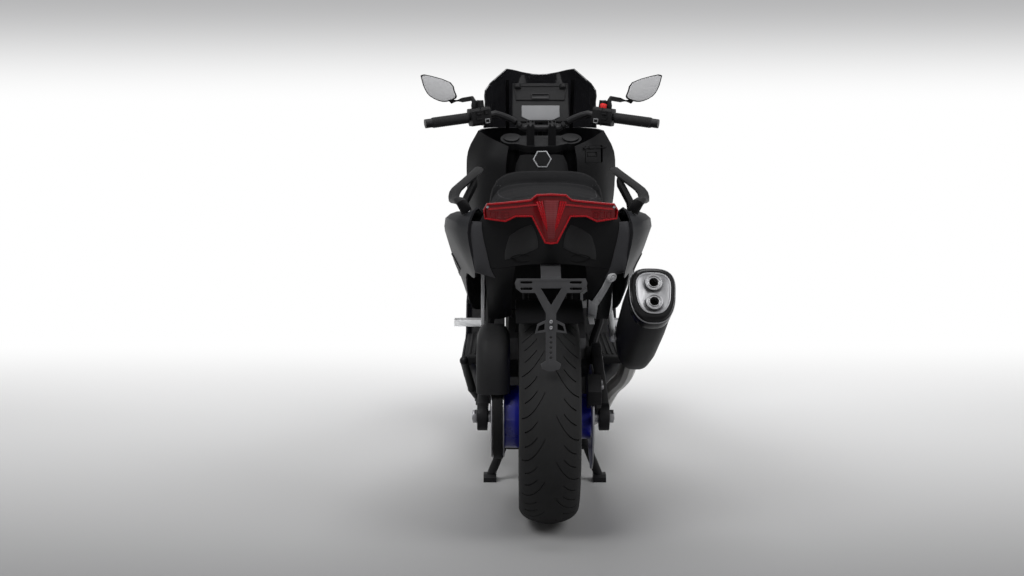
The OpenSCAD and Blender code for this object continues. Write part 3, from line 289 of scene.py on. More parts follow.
def smoked_screen():
    """Smoked polycarbonate, nearly black."""
    f = Finish("smoked_screen", Transmission_Weight=0.55, IOR=1.45, Coat_Weight=0.3, Coat_Roughness=0.05)
    cloud = f.noise(5.0)
    f.set("Base Color", f.mix(cloud, (0.012, 0.012, 0.014), (0.024, 0.024, 0.027)))
    f.set("Roughness", 0.08 + cloud * 0.05)
    return f.material


def clear_lens():
    """Clear lamp cover over a bright bowl."""
    f = Finish("clear_lens", Metallic=0.75, Coat_Weight=1.0, Coat_Roughness=0.03)
    x, y, z = f.axes()
    rib = (z * 900.0).wave() * 0.5 + 0.5
    cloud = f.noise(30.0)
    f.set("Base Color", f.mix(rib * 0.5 + cloud * 0.4, (0.20, 0.21, 0.23), (0.72, 0.75, 0.80)))
    f.set("Roughness", 0.08 + rib * 0.1)
    f.bump(rib, 0.2, 0.0008)
    return f.material


def mirror_silver():
    """Tinted mirror with a faint random haze, lighter towards its lower edge as a painted reflection."""
    f = Finish("mirror_silver", Metallic=0.35, Specular_IOR_Level=0.3)
    x, y, z = f.axes()
    haze = f.noise(12.0)
    # Painted reflection: the glass grows lighter towards its lower edge.
    low = 1.0 - (z - 1.11).clamped(0.0, 0.1)
    f.set("Base Color", f.mix(haze * 0.4 + low * 0.5, (0.44, 0.442, 0.452), (0.62, 0.622, 0.63)))
    f.set("Roughness", 0.42 + haze * 0.06)
    return f.material


def display_glass():
    """Unlit grey display under a glossy cover, darker towards its top as painted shade under the hood."""
    f = Finish("display_glass", Coat_Weight=0.3, Coat_Roughness=0.15, Specular_IOR_Level=0.2)
    x, y, z = f.axes()
    haze = f.noise(16.0)
    # Painted shade: the grey darkens with height, towards the hood over the display.
    f.set("Base Color", f.mix(haze * 0.5 + (z - 1.05).clamped(0.0, 0.06) * 0.4, (0.120, 0.122, 0.128),
                              (0.085, 0.087, 0.093)))
    f.set("Roughness", 0.34 + haze * 0.1)
    return f.material


def stop_red():
    """Bright red switch plastic."""
    f = Finish("stop_red", Specular_IOR_Level=0.4)
    cloud = f.noise(120.0)
    f.set("Base Color", f.mix(cloud, (0.55, 0.012, 0.012), (0.86, 0.030, 0.028)))
    f.set("Roughness", 0.34 + cloud * 0.1)
    return f.material


PAINT = satin_paint()
TRIM = moulded_plastic("grained_trim", (0.0085, 0.0085, 0.0092), 0.52, 900.0, 0.3)
COWL = moulded_plastic("matt_cowl", (0.0095, 0.0095, 0.0102), 0.46, 1500.0, 0.16)
COVER_GREY = moulded_plastic("cover_grey", (0.026, 0.026, 0.027), 0.5, 1100.0, 0.2)
HIP_GREY = moulded_plastic("hip_grey", (0.050, 0.050, 0.054), 0.45, 1500.0, 0.1)
RAIL_BLACK = moulded_plastic("rail_black", (0.006, 0.006, 0.0065), 0.46, 1500.0, 0.12)
# Near-black fill for slots, vents, the intake and the sunken pull: painted shade in openings and recesses.
SLOT_PAINTED_SHADE = moulded_plastic("slot_painted_shade", (0.003, 0.003, 0.0033), 0.6, 900.0, 0.2)
FRAME_BLACK = coated_metal("frame_black", (0.011, 0.011, 0.012), 0.42)
BRACKET_GREY = coated_metal("bracket_grey", (0.058, 0.058, 0.061), 0.5, 0.2)
ENGINE_GREY = coated_metal("engine_grey", (0.07, 0.07, 0.073), 0.5, 0.7)
FIN_GREY = coated_metal("fin_grey", (0.04, 0.04, 0.042), 0.45, 0.8)
ALLOY = coated_metal("bright_alloy", (0.30, 0.305, 0.315), 0.34, 0.9)
# A lighter, less metallic copy of the bright alloy: painted light, so the muffler hanger, its boss and the footrest
# brackets read as bright silver in shade.
ALLOY_PAINTED_LIGHT = coated_metal("alloy_painted_light", (0.60, 0.605, 0.615), 0.42, 0.2)
STEEL = brushed_metal("ground_steel", (0.40, 0.40, 0.415), 0.26, (1.0, 0.2, 1.0))
SATIN_STEEL = brushed_metal("satin_steel", (0.34, 0.34, 0.35), 0.30, (0.3, 1.0, 1.0))
PIPE_STEEL = brushed_metal("pipe_steel", (0.46, 0.455, 0.45), 0.3, (1.0, 0.15, 1.0))
CAN_GREY = coated_metal("muffler_grey", (0.020, 0.020, 0.0215), 0.5, 0.55)
CAP_BLACK = coated_metal("cap_black", (0.007, 0.007, 0.0075), 0.20, 0.3)
SOOT = coated_metal("soot", (0.004, 0.004, 0.004), 0.8, 0.1)
TYRE = rubber("tyre_rubber", (0.017, 0.017, 0.0175), 0.66)
BELT = rubber("belt_rubber", (0.007, 0.007, 0.007), 0.6)
GRIP = rubber("grip_rubber", (0.010, 0.010, 0.0105), 0.6)
BLUE = blue_enamel()
LEATHER = seat_leather()
THREAD = seat_thread()
RED = red_lens("red_lens", (0.060, 0.001, 0.002), (0.19, 0.002, 0.005), 2600.0)
RIM_RED = red_lens("rim_red", (0.20, 0.003, 0.006), (0.44, 0.008, 0.014), 1400.0)
# The stem's lighter, greyish red is a painted highlight on the lamp's central bar.
STEM_PAINTED_HIGHLIGHT = red_lens("stem_painted_highlight", (0.10, 0.012, 0.014), (0.26, 0.05, 0.055), 1900.0)
SMOKE = smoked_screen()
CLEAR = clear_lens()
MIRROR = mirror_silver()
DISPLAY = display_glass()
STOP_RED = stop_red()

# Finishes of the CAD nodes: material, width of the rounded edges in mm
CAD_FINISH = {
    "frame": (FRAME_BLACK, 0), "rear_frame": (FRAME_BLACK, 1), "seat_rails": (FRAME_BLACK, 0),
    "tail_bar": (FRAME_BLACK, 0.8), "engine": (ENGINE_GREY, 5), "radiator": (ENGINE_GREY, 2),
    "swingarm": (FRAME_BLACK, 4), "rear_axle": (STEEL, 0.8), "drive_belt": (BELT, 0.6), "belt_cover": (COVER_GREY, 0),
    "rear_caliper": (FRAME_BLACK, 3), "exhaust_pipe": (PIPE_STEEL, 0), "muffler": (CAN_GREY, 0),
    # The footrest brackets' lighter alloy is painted light.
    "muffler_cap": (CAP_BLACK, 1), "footrest_brackets": (ALLOY_PAINTED_LIGHT, 1.2), "rear_mudguard": (TRIM, 1.2),
    "storage_tub": (TRIM, 1.5), "tail_cowl": (COWL, 0), "side_panels": (PAINT, 0),
    "grab_rails": (RAIL_BLACK, 0), "plate_bracket": (BRACKET_GREY, 0.8), "tunnel": (TRIM, 0), "footboards": (TRIM, 4),
    "leg_shield": (TRIM, 0), "glovebox": (TRIM, 0), "lower_fairings": (PAINT, 0), "front_cowl": (PAINT, 0),
    "headlamps": (CLEAR, 0), "windscreen": (SMOKE, 0), "dash": (TRIM, 5), "display": (DISPLAY, 0.6),
    "triple_clamp": (FRAME_BLACK, 2.5), "fork_legs": (FRAME_BLACK, 1.5), "front_axle": (STEEL, 0.8),
    "front_fender": (PAINT, 0.8), "front_calipers": (FRAME_BLACK, 3), "handlebar": (FRAME_BLACK, 0),
    "grips": (GRIP, 1.5), "switchgear": (TRIM, 2.5), "brake_levers": (ALLOY, 0), "mirrors": (TRIM, 0),
    "mirror_glass": (MIRROR, 0.5), "front_rim": (BLUE, 2), "front_discs": (STEEL, 0.5),
    "rear_rim": (BLUE, 2), "rear_disc": (STEEL, 0.5), "rear_pulley": (STEEL, 1),
    "seat_pan": (TRIM, 1.5), "glovebox_lid": (TRIM, 0), "centre_stand": (FRAME_BLACK, 1.5),
    "side_stand": (FRAME_BLACK, 0),
}


def finish_node(name, material, edge):
    """Gives a CAD node its material, joined faces, rounded edges and smooth shading."""
    node = nodes[name]
    node.data.materials.clear()
    node.data.materials.append(material)
    node.data.polygons.foreach_set("use_smooth", [True] * len(node.data.polygons))
    weld = node.modifiers.new("weld", "WELD")
    weld.merge_threshold = SAME_POINT
    if edge:
        flat = node.modifiers.new("flat", "DECIMATE")
        flat.decimate_type = "DISSOLVE"
        flat.angle_limit = math.radians(0.6)
        bevel = node.modifiers.new("bevel", "BEVEL")
        bevel.width = edge * MM
        bevel.segments = 3
        bevel.limit_method = "ANGLE"
        bevel.angle_limit = math.radians(32)
    split = node.modifiers.new("split", "EDGE_SPLIT")
    split.split_angle = math.radians(34)


# Modelling by hand


def clear_selection():
    """Nothing stays selected, so an operator meets only the piece in hand."""
    if bpy.context.object and bpy.context.object.mode != "OBJECT":
        bpy.ops.object.mode_set(mode="OBJECT")
    bpy.ops.object.select_all(action="DESELECT")


def work_on(piece):
    clear_selection()
    piece.select_set(True)
    bpy.context.view_layer.objects.active = piece


def settle(piece):
    """Puts the piece's place, turn and scale into its mesh."""
    work_on(piece)
    bpy.ops.object.transform_apply(location=True, rotation=True, scale=True)


def begin(kind, name, **how):
    """A primitive to start a piece from, with its place in its mesh."""
    clear_selection()
    getattr(bpy.ops.mesh, "primitive_" + kind + "_add")(**how)
    piece = bpy.context.object
    piece.name = name
    settle(piece)
    return piece


def linked(name, mesh):
    """An object in the scene for a mesh of its own."""
    piece = bpy.data.objects.new(name, mesh)
    bpy.context.collection.objects.link(piece)
    return piece


class Edit:
    """Edit mode on one piece, with faces and edges chosen by their place and direction."""

    def __init__(self, piece):
        self.piece = piece

    def __enter__(self):
        work_on(self.piece)
        bpy.ops.object.mode_set(mode="EDIT")
        return self

    def __exit__(self, *problem):
        bpy.ops.object.mode_set(mode="OBJECT")

    def everything(self):
        bpy.ops.mesh.select_mode(type="FACE")
        bpy.ops.mesh.select_all(action="SELECT")

    def choose(self, wanted):
        """Selects the wanted faces and nothing else."""
        bpy.ops.mesh.select_mode(type="FACE")
        bpy.ops.mesh.select_all(action="DESELECT")
        mesh = bmesh.from_edit_mesh(self.piece.data)
        mesh.faces.index_update()
        for face in mesh.faces:
            if wanted(face):
                face.select_set(True)
        bmesh.update_edit_mesh(self.piece.data)

    def faces(self, wanted):
        """Selects the faces whose middle and normal are wanted."""
        self.choose(lambda face: wanted(face.calc_center_median(), face.normal))

    def inset(self, width, depth=0.0, even=True):
        bpy.ops.mesh.inset(thickness=width * MM, depth=depth * MM, use_even_offset=even)

    def push(self, x, y, z):
        """Extrudes the chosen faces by a way in mm."""
        bpy.ops.mesh.extrude_region_move(TRANSFORM_OT_translate={"value": (x * MM, y * MM, z * MM)})

    def swell(self, distance):
        """Extrudes the chosen faces along their normals, in mm."""
        bpy.ops.mesh.extrude_region_shrink_fatten(TRANSFORM_OT_shrink_fatten={"value": distance * MM})

    def paint(self, index):
        self.piece.active_material_index = index
        bpy.ops.object.material_slot_assign()

    def cut(self, count):
        self.everything()
        bpy.ops.mesh.subdivide(number_cuts=count)

    def face_out(self):
        self.everything()
        bpy.ops.mesh.remove_doubles(threshold=SAME_POINT)
        bpy.ops.mesh.normals_make_consistent(inside=False)


def stepped(piece, way, *steps):
    """Insets the faces that look one way, then pushes them out or, below 0, in: pairs of inset and push in mm."""
    with Edit(piece) as edit:
        edit.faces(lambda p, n: n.dot(Vector(way)) > 0.5)
        for width, out in steps:
            edit.inset(width)
            edit.push(*[axis * out for axis in way])


def shape(piece, moved):
    """Moves every point of a piece by a rule."""
    for vertex in piece.data.vertices:
        vertex.co = moved(vertex.co.copy())
    piece.data.update()


def put(piece, matrix):
    """Takes a piece that was modelled round the origin to its place."""
    piece.matrix_world = matrix
    settle(piece)


def mirrored(piece, name):
    """The same piece on the other side of the machine, with its own mesh."""
    twin = linked(name, piece.data.copy())
    shape(twin, lambda p: Vector((-p.x, p.y, p.z)))
    with Edit(twin):
        bpy.ops.mesh.select_all(action="SELECT")
        bpy.ops.mesh.flip_normals()
    return twin


def repeated(piece, matrices, name):
    """One mesh with a copy of a modelled piece at each place; the first one goes."""
    points, faces = [], []
    for matrix in matrices:
        base = len(points)
        points += [matrix @ v.co for v in piece.data.vertices]
        faces += [[base + i for i in p.vertices] for p in piece.data.polygons]
    mesh = bpy.data.meshes.new(name)
    mesh.from_pydata(points, [], faces)
    made = linked(name, mesh)
    bpy.data.objects.remove(piece)
    return made


def use(piece, kind, **settings):
    """Adds a modifier and applies it."""
    work_on(piece)
    modifier = piece.modifiers.new(kind.lower(), kind)
    for key, value in settings.items():
        setattr(modifier, key, value)
    bpy.ops.object.modifier_apply(modifier=modifier.name)


def round_edges(piece, width, segments=2, angle=30):
    use(piece, "BEVEL", width=width * MM, segments=segments, limit_method="ANGLE", angle_limit=math.radians(angle))


def dress(piece, material, body, smooth=35):
    """Smooths a finished piece and gives it its body and, if it has none yet, its finish."""
    work_on(piece)
    bpy.ops.object.shade_smooth_by_angle(angle=math.radians(smooth))
    if not piece.data.materials:
        piece.data.materials.append(material)
    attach(piece, body)


def dress_pair(piece, left_name, material, body):
    """Dresses a piece of the right side and its twin on the left."""
    dress(mirrored(piece, left_name), material, body)
    dress(piece, material, body)


def facing(place, out, up=(0, 0, 1)):
    """A local frame at a place in metres: Z goes out of the surface, Y as far up as it can."""
    z = Vector(out).normalized()
    x = Vector(up).cross(z).normalized()
    y = z.cross(x)
    turn = Matrix((x, y, z)).transposed().to_4x4()
    turn.translation = place
    return turn


def skin(name):
    """A CAD node's surface, to set pieces on."""
    mesh = nodes[name].data
    return BVHTree.FromPolygons([v.co for v in mesh.vertices], [p.vertices for p in mesh.polygons])


def touch(name, start, way):
    """Where a line from a point in mm meets a CAD node, and the normal there, turned towards the start."""
    way = Vector(way).normalized()
    place, normal, face, distance = skin(name).ray_cast(at(*start), way)
    if normal.dot(way) > 0:
        normal = -normal
    return place, normal


# Tyres


BEAD, LIP = 190.9, 203.0  # radii in mm where the tyre meets the rim
GROOVES = 6  # in one pitch
GROOVE_DEPTH = 4.5


def tyre_profile(width, radius, rim_half, drop):
    """Radius and width of the tyre's outline, as the CAD solid has it, bead to bead and closed."""
    side = [(BEAD, rim_half - 0.5), (LIP, rim_half - 0.5), (LIP, rim_half + 4),
            ((LIP + radius - drop) / 2, width / 2 - 2)]
    crown = [math.radians(a) for a in range(-90, 91, 5)]
    return ([(r, -x) for r, x in side]
            + [(radius - drop * (1 - math.cos(a)), width / 2 * math.sin(a)) for a in crown]
            + side[::-1] + [(BEAD, -rim_half + 0.5)])


def grooved_tyre(node, body, axle, width, radius, rim_half, drop, pitches):
    """A tyre with curved grooves: one pitch is cut, then spun round the axle."""
    profile = tyre_profile(width, radius, rim_half, drop)
    marks = []
    for k in range(GROOVES):
        middle = (k + 0.5) / GROOVES
        marks += [middle - 0.0165, middle + 0.0165, (k + 1) / GROOVES - 0.032]
    rows = [0.0] + marks + [1.0]
    columns = len(profile) - 1
    piece = begin("grid", node + "_grooved", x_subdivisions=columns, y_subdivisions=len(rows) - 1, size=1.0)
    across = [round((v.co.x + 0.5) * columns) for v in piece.data.vertices]
    along = [round((v.co.y + 0.5) * (len(rows) - 1)) for v in piece.data.vertices]
    half = width / 2
    chosen = set()
    for face in piece.data.polygons:
        c = min(across[i] for i in face.vertices)
        r = min(along[i] for i in face.vertices)
        x = (profile[c][1] + profile[c + 1][1]) / 2
        k, groove = divmod(r - 1, 3)
        if r < 1 or groove or k >= GROOVES or not 4 <= c < columns - 5:
            continue
        near, far = (0.15, 0.89) if k % 3 == 0 else (0.40, 0.84)
        if (x < 0) == (k % 2 == 0) and near < abs(x) / half < far:
            chosen.add(face.index)
    arc = 2 * math.pi / pitches

    def turn(x):
        """How far the grooves sweep back at a distance from the middle."""
        reach = min(max((abs(x) / half - 0.12) / 0.8, 0.0), 1.0)
        return -0.27 * (1 - (1 - reach) ** 1.9)

    for v, c, r in zip(piece.data.vertices, across, along):
        radial, x = profile[c]
        angle = rows[r] * arc + turn(x)
        v.co = (x * MM, axle.y - radial * MM * math.cos(angle), axle.z + radial * MM * math.sin(angle))
    piece.data.update()
    outward = sum(f.normal.dot(f.center - Vector((f.center.x, axle.y, axle.z)))
                  for f in piece.data.polygons if f.index in chosen)
    with Edit(piece) as edit:
        if outward < 0:
            edit.everything()
            bpy.ops.mesh.flip_normals()
        edit.choose(lambda face: face.index in chosen)
        edit.swell(-GROOVE_DEPTH)
        bpy.ops.mesh.select_all(action="SELECT")
        bpy.ops.mesh.spin(steps=pitches - 1, dupli=True, angle=arc * (pitches - 1), center=axle, axis=(1, 0, 0))
        edit.face_out()
    dress(piece, TYRE, body, smooth=28)
    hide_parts(node)


grooved_tyre("rear_tyre", "rear_wheel", REAR_AXLE, 160.0, 286.5, 64.0, 46.0, 15)
grooved_tyre("front_tyre", "front_wheel", FRONT_AXLE, 120.0, 274.5, 44.0, 37.0, 15)


# Seat


def seat_heights(mesh):
    """Lowest and highest point of the cushion in each centimetre of its length."""
    low, high = {}, {}
    for v in mesh.vertices:
        k = round(v.co.y * 100)
        low[k] = min(low.get(k, 9.0), v.co.z)
        high[k] = max(high.get(k, 0.0), v.co.z)
    return low, high


BACKREST_FOOT = at(0, 424, 0).y
BACKREST_BACK = at(0, 309, 0).y
WELT = 0.76  # height of the side seam, as a share of the cushion's
WELT_SINK, WELT_REACH = 0.0022, 0.0045
CREASE_SINK, CREASE_REACH = 0.004, 0.008
PUFF = 0.006  # the most that the cover may rise


def seat_cover():
    """The cushion: its cover is blown up by a cloth simulation and held down along its seams."""
    cover = linked("seat_cover", nodes["seat"].data.copy())
    with Edit(cover) as edit:
        edit.everything()
        bpy.ops.mesh.remove_doubles(threshold=SAME_POINT)
        edit.faces(lambda p, n: n.z > -0.5)
        bpy.ops.transform.shrink_fatten(value=-0.004)
    work_on(cover)
    cover.data.remesh_voxel_size = 0.0062
    bpy.ops.object.voxel_remesh()
    low, high = seat_heights(cover.data)

    def seam_distance(p, n):
        """How far a point is from the side seam, and from the seams across the seat."""
        k = round(p.y * 100)
        rise = high[k] - low[k]
        part = (p.z - low[k]) / max(rise, 0.01)
        welt = abs(part - WELT) * rise if n.z < 0.88 else 1.0
        if part < 0.35:
            return welt, 1.0
        return welt, min(abs(p.y - BACKREST_FOOT), abs(p.y - BACKREST_BACK))

    start = [v.co.copy() for v in cover.data.vertices]
    seams = [seam_distance(v.co, v.normal) for v in cover.data.vertices]
    held = cover.vertex_groups.new(name="held")
    for v, seam in zip(cover.data.vertices, seams):
        k = round(v.co.y * 100)
        if v.co.z < low[k] + 0.012 or min(seam) < 0.005:
            held.add([v.index], 1.0, "REPLACE")
    cloth = cover.modifiers.new("cloth", "CLOTH")
    cloth.settings.use_pressure = True
    cloth.settings.uniform_pressure_force = 4.0
    cloth.settings.effector_weights.gravity = 0.0
    cloth.settings.vertex_group_mass = "held"
    cloth.settings.tension_stiffness = 8.0
    cloth.settings.compression_stiffness = 8.0
    for step in range(1, 21):
        bpy.context.scene.frame_set(step)
    work_on(cover)
    bpy.ops.object.modifier_apply(modifier="cloth")
    bpy.context.scene.frame_set(1)
    normals = [v.normal.copy() for v in cover.data.vertices]
    for v, before, normal, (welt, crease) in zip(cover.data.vertices, start, normals, seams):
        moved = v.co - before
        if moved.length > PUFF:
            moved = moved * (PUFF / moved.length)
        sunk = (WELT_SINK * math.exp(-(welt / WELT_REACH) ** 2)
                + CREASE_SINK * math.exp(-(crease / CREASE_REACH) ** 2))
        v.co = before + moved - normal * sunk
    cover.data.update()
    use(cover, "SUBSURF", levels=1, render_levels=1)
    cover.data.materials.clear()
    dress(cover, LEATHER, "seat", smooth=80)
    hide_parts("seat")
    return cover, low, high


def seat_stitches(cover, low, high):
    """Rows of thread beside the welts and across the foot of the backrest."""
    tree = BVHTree.FromPolygons([v.co for v in cover.data.vertices], [p.vertices for p in cover.data.polygons])
    matrices = []

    def stitch_at(start, way, along):
        place, normal, face, distance = tree.ray_cast(start, Vector(way))
        if place is not None:
            matrices.append(facing(place, normal, along))

    for step in range(128):
        y = at(0, -150 + step * 7.2, 0).y
        k = round(y * 100)
        if k not in high:
            continue
        z = low[k] + WELT * (high[k] - low[k]) + 0.0075
        for side in (-1, 1):
            stitch_at(Vector((side * 0.4, y, z)), (-side, 0, 0), (0, 1, 0))
    for y in (BACKREST_FOOT + 0.008, BACKREST_FOOT - 0.008, BACKREST_BACK - 0.010):
        for step in range(-19, 20):
            stitch_at(Vector((step * 0.0072, y, 1.3)), (0, 0, -1), (1, 0, 0))
    thread = begin("cube", "stitch", size=1.0, scale=(0.0011, 0.0046, 0.0011))
    with Edit(thread) as edit:
        edit.faces(lambda p, n: n.z > 0.5)
        edit.inset(0.25, 0.25)
    stitches = repeated(thread, matrices, "seat_stitches")
    dress(stitches, THREAD, "seat")


seat_piece, seat_low, seat_high = seat_cover()
seat_stitches(seat_piece, seat_low, seat_high)


# Tail lamp


def tail_y(x):
    """The tail's plan curve: y in mm from the rear axle at a distance from the middle."""
    return -262 + 62 * (x / 171) ** 2


def tail_lamp():
    """The lens, a bright rim round a sunken dark field, and the stem, ribs, light guides and cells in it; the stem's
    lighter red is a painted highlight.
    """
    lens = linked("tail_lens", nodes["tail_lamp"].data.copy())
    lens.data.materials.clear()
    for material in (RIM_RED, RED):
        lens.data.materials.append(material)
    with Edit(lens) as edit:
        edit.everything()
        edit.paint(0)
        bpy.ops.mesh.remove_doubles(threshold=SAME_POINT)
        bpy.ops.mesh.dissolve_limited(angle_limit=math.radians(1.0))
        edit.faces(lambda p, n: n.y < -0.75 and p.y < at(0, tail_y(p.x / MM) + 8, 0).y)
        edit.inset(4.2, even=False)
        edit.paint(1)
        edit.push(0, 4.5, 0)
        edit.inset(1.6, even=False)
    round_edges(lens, 0.7, 2, 28)
    dress(lens, RED, "chassis")
    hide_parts("tail_lamp")

    stem = begin("cone", "lamp_stem", vertices=28, radius1=0.0095, radius2=0.019, depth=0.096,
                 location=at(0, -255.5, 849), scale=(1, 0.32, 1))
    stepped(stem, UP, (4, -3))
    round_edges(stem, 1.5)
    # The stem's lighter red is a painted highlight.
    dress(stem, STEM_PAINTED_HIGHLIGHT, "chassis")

    rib = begin("cone", "rib", vertices=12, radius1=0.0016, radius2=0.0028, depth=0.094, scale=(1, 0.8, 1))
    round_edges(rib, 0.5)
    ribs = [Matrix.Translation(at(side * (14 + 3.5 * row), -256.5 + row * 0.4, 849))
            @ Matrix.Rotation(side * math.radians(13 + 3 * row), 4, "Y")
            for side in (-1, 1) for row in range(3)]
    dress(repeated(rib, ribs, "lamp_ribs"), RIM_RED, "chassis")

    for side_name, side in SIDES:
        guide = begin("cube", "lamp_guide_" + side_name, size=1.0)
        with Edit(guide) as edit:
            edit.cut(9)
            edit.faces(lambda p, n: n.y < -0.5 and abs(p.z) < 0.3)
            edit.push(0, -120, 0)

        def along_arm(p):
            x = 34 + (p.x + 0.5) * 124
            middle = 886 - 0.125 * (x - 34)
            return at(side * x, tail_y(x) + 4.0 + p.y * 4.0, middle + p.z * 5.0)

        shape(guide, along_arm)
        with Edit(guide) as edit:
            edit.face_out()
        dress(guide, RIM_RED, "chassis")

    cell = begin("cube", "cell", size=1.0, scale=(0.0145, 0.005, 0.016))
    stepped(cell, BACK, (1.6, -2.6), (3.2, 1.6))
    round_edges(cell, 0.4, 1)
    cells = [Matrix.Translation(at(side * x, tail_y(x) + 6.2, 859.5 - 0.03 * (x - 60)))
             @ Matrix.Rotation(side * math.atan(124 * x / 171 ** 2), 4, "Z")
             for side in (-1, 1) for x in (112, 129, 146)]
    dress(repeated(cell, cells, "lamp_cells"), RED, "chassis")

    spot = begin("cylinder", "spot", vertices=20, radius=0.0036, depth=0.003, rotation=(math.radians(90), 0, 0))
    stepped(spot, BACK, (1.2, 0.8))
    round_edges(spot, 0.4)
    spots = [Matrix.Translation(at(side * 160, tail_y(160) + 3.0, 876)) for side in (-1, 1)]
    dress(repeated(spot, spots, "lamp_spots"), CLEAR, "chassis")


tail_lamp()


# Muffler


OUTLET_RISE = 0.026  # each outlet, above or below the middle of the plate


def muffler_frame():
    """Origin at the end of the can, Z out along it, Y up across it."""
    back = Vector((27, -382, 228)).normalized()
    up = -Vector((1, 0, 0)).cross(back).normalized()
    return facing(at(258, -250, 662), back, up)


def egg(angle, size):
    """A point of the can's outline in mm, at a share of its size."""
    c, s = math.cos(angle), math.sin(angle)
    wide = math.copysign(abs(c) ** 0.72, c) * 58 * size * (1 + 0.16 * s)
    return wide, math.copysign(abs(s) ** 0.72, s) * 75 * size


def muffler_end():
    """Bright plate with two outlets, and the bright lip round the cap."""
    place = muffler_frame()
    plate = begin("cylinder", "muffler_plate", vertices=64, radius=1.0, depth=0.0024, location=(0, 0, 0.0015))

    def to_egg(p):
        x, y = egg(math.atan2(p.y, p.x), 0.75)
        return Vector((x * MM, y * MM, p.z))

    shape(plate, to_egg)
    stepped(plate, UP, (5, -1))
    for side in (-1, 1):
        hole = begin("cylinder", "hole", vertices=40, radius=0.0165, depth=0.03, location=(0, side * OUTLET_RISE, 0))
        use(plate, "BOOLEAN", operation="DIFFERENCE", object=hole, solver="EXACT")
        bpy.data.objects.remove(hole)
    put(plate, place)
    round_edges(plate, 0.4, 2)
    dress(plate, SATIN_STEEL, "chassis")

    outlet = begin("cylinder", "outlet", vertices=40, radius=0.0155, depth=0.034, location=(0, 0, -0.0105))
    with Edit(outlet) as edit:
        edit.faces(lambda p, n: n.z > 0.9)
        edit.push(0, 0, 1.5)
        bpy.ops.transform.resize(value=(1.38, 1.38, 1.0), center_override=(0, 0, 0))
        edit.push(0, 0, 2.2)
        edit.inset(4.4)
        edit.push(0, 0, -2.0)
        edit.inset(3.2)
        edit.push(0, 0, 2.6)
        edit.inset(2.0)
        edit.push(0, 0, -32)
    round_edges(outlet, 0.6, 2)
    ends = [place @ Matrix.Translation((0, side * OUTLET_RISE, 0)) for side in (-1, 1)]
    dress(repeated(outlet, ends, "muffler_outlets"), SATIN_STEEL, "chassis")

    soot = begin("cylinder", "soot", vertices=32, radius=0.0102, depth=0.002, location=(0, 0, -0.014))
    stepped(soot, UP, (3, -0.8))
    dress(repeated(soot, ends, "outlet_depths"), SOOT, "chassis")

    lip = begin("torus", "muffler_lip", major_segments=96, minor_segments=10, major_radius=1.0, minor_radius=0.1)

    def to_rim(p):
        angle = math.atan2(p.y, p.x)
        out = (Vector((p.x, p.y)).length - 1.0) * 10
        x, y = egg(angle, 0.992)
        grow = 1 + out * 0.02
        return Vector((x * grow * MM, y * grow * MM, (-16.5 + p.z * 26) * MM))

    shape(lip, to_rim)
    put(lip, place)
    dress(lip, SATIN_STEEL, "chassis", smooth=60)


muffler_end()


# Fasteners


def socket_bolt(name, radius, height):
    """A round-headed bolt with a sunken drive, modelled standing on the origin."""
    bolt = begin("cylinder", name, vertices=18, radius=radius * MM, depth=height * MM, location=(0, 0, height * MM / 2))
    stepped(bolt, UP, (radius * 0.48, -height * 0.6))
    round_edges(bolt, radius * 0.12, 1)
    return bolt


def bolts(name, body, radius, height, places, material=STEEL):
    """Bolts that stand on surfaces: each place is a point in metres and the way out."""
    made = repeated(socket_bolt(name, radius, height), [facing(p, out, (0.3, 0.2, 1)) for p, out in places], name)
    dress(made, material, body)


def fasteners():
    """Screws of the plate bracket, and bolts of the rear caliper and of the discs."""
    bolts("plate_screws", "chassis", 4.6, 3.0, [touch("plate_bracket", (0, -400, z), (0, 1, 0)) for z in (592, 577)])
    bolts("caliper_bolts", "chassis", 6.5, 6.0,
          [touch("rear_caliper", (260, y, z), (-1, 0, 0)) for y, z in ((-84, 404), (-122, 398), (-30, 346))])
    for node, body, axle, sides, ring in (("rear_disc", "rear_wheel", REAR_AXLE, (1,), 0.050),
                                          ("front_discs", "front_wheel", FRONT_AXLE, (-1, 1), 0.038)):
        heads = []
        tree = skin(node)
        for side in sides:
            for k in range(6):
                a = math.radians(30 + 60 * k)
                start = Vector((side * 0.3, axle.y + ring * math.cos(a), axle.z + ring * math.sin(a)))
                place, normal, face, distance = tree.ray_cast(start, Vector((-side, 0, 0)))
                if place is not None:
                    heads.append((place, (side, 0, 0)))
        bolts(node + "_bolts", body, 5.5, 5.0, heads)


fasteners()


# Cockpit


def bar_frame():
    """The grip's own frame: X down, Y forward, Z out along the bar, as the CAD solids have it."""
    bend, tip = Vector((150, 1152.56, 1077.23)), Vector((372, 1086.06, 1048.03))
    z = (tip - bend).normalized()
    y = Vector((-z.y, z.x, 0)).normalized()
    x = y.cross(z)
    turn = Matrix((x, y, z)).transposed().to_4x4()
    turn.translation = at(*bend)
    return turn


def grip_box(name, low, high):
    """A box in the grip's frame, in mm."""
    low, high = Vector(low) * MM, Vector(high) * MM
    return begin("cube", name, size=1.0, location=(low + high) / 2, scale=high - low)


def key_cap(name, low, high, sink=1.6, rim=2.0):
    """A switch key on the back of the switch block: a rim round a dished face."""
    key = grip_box(name, low, high)
    stepped(key, BACK, (rim, -sink))
    return key


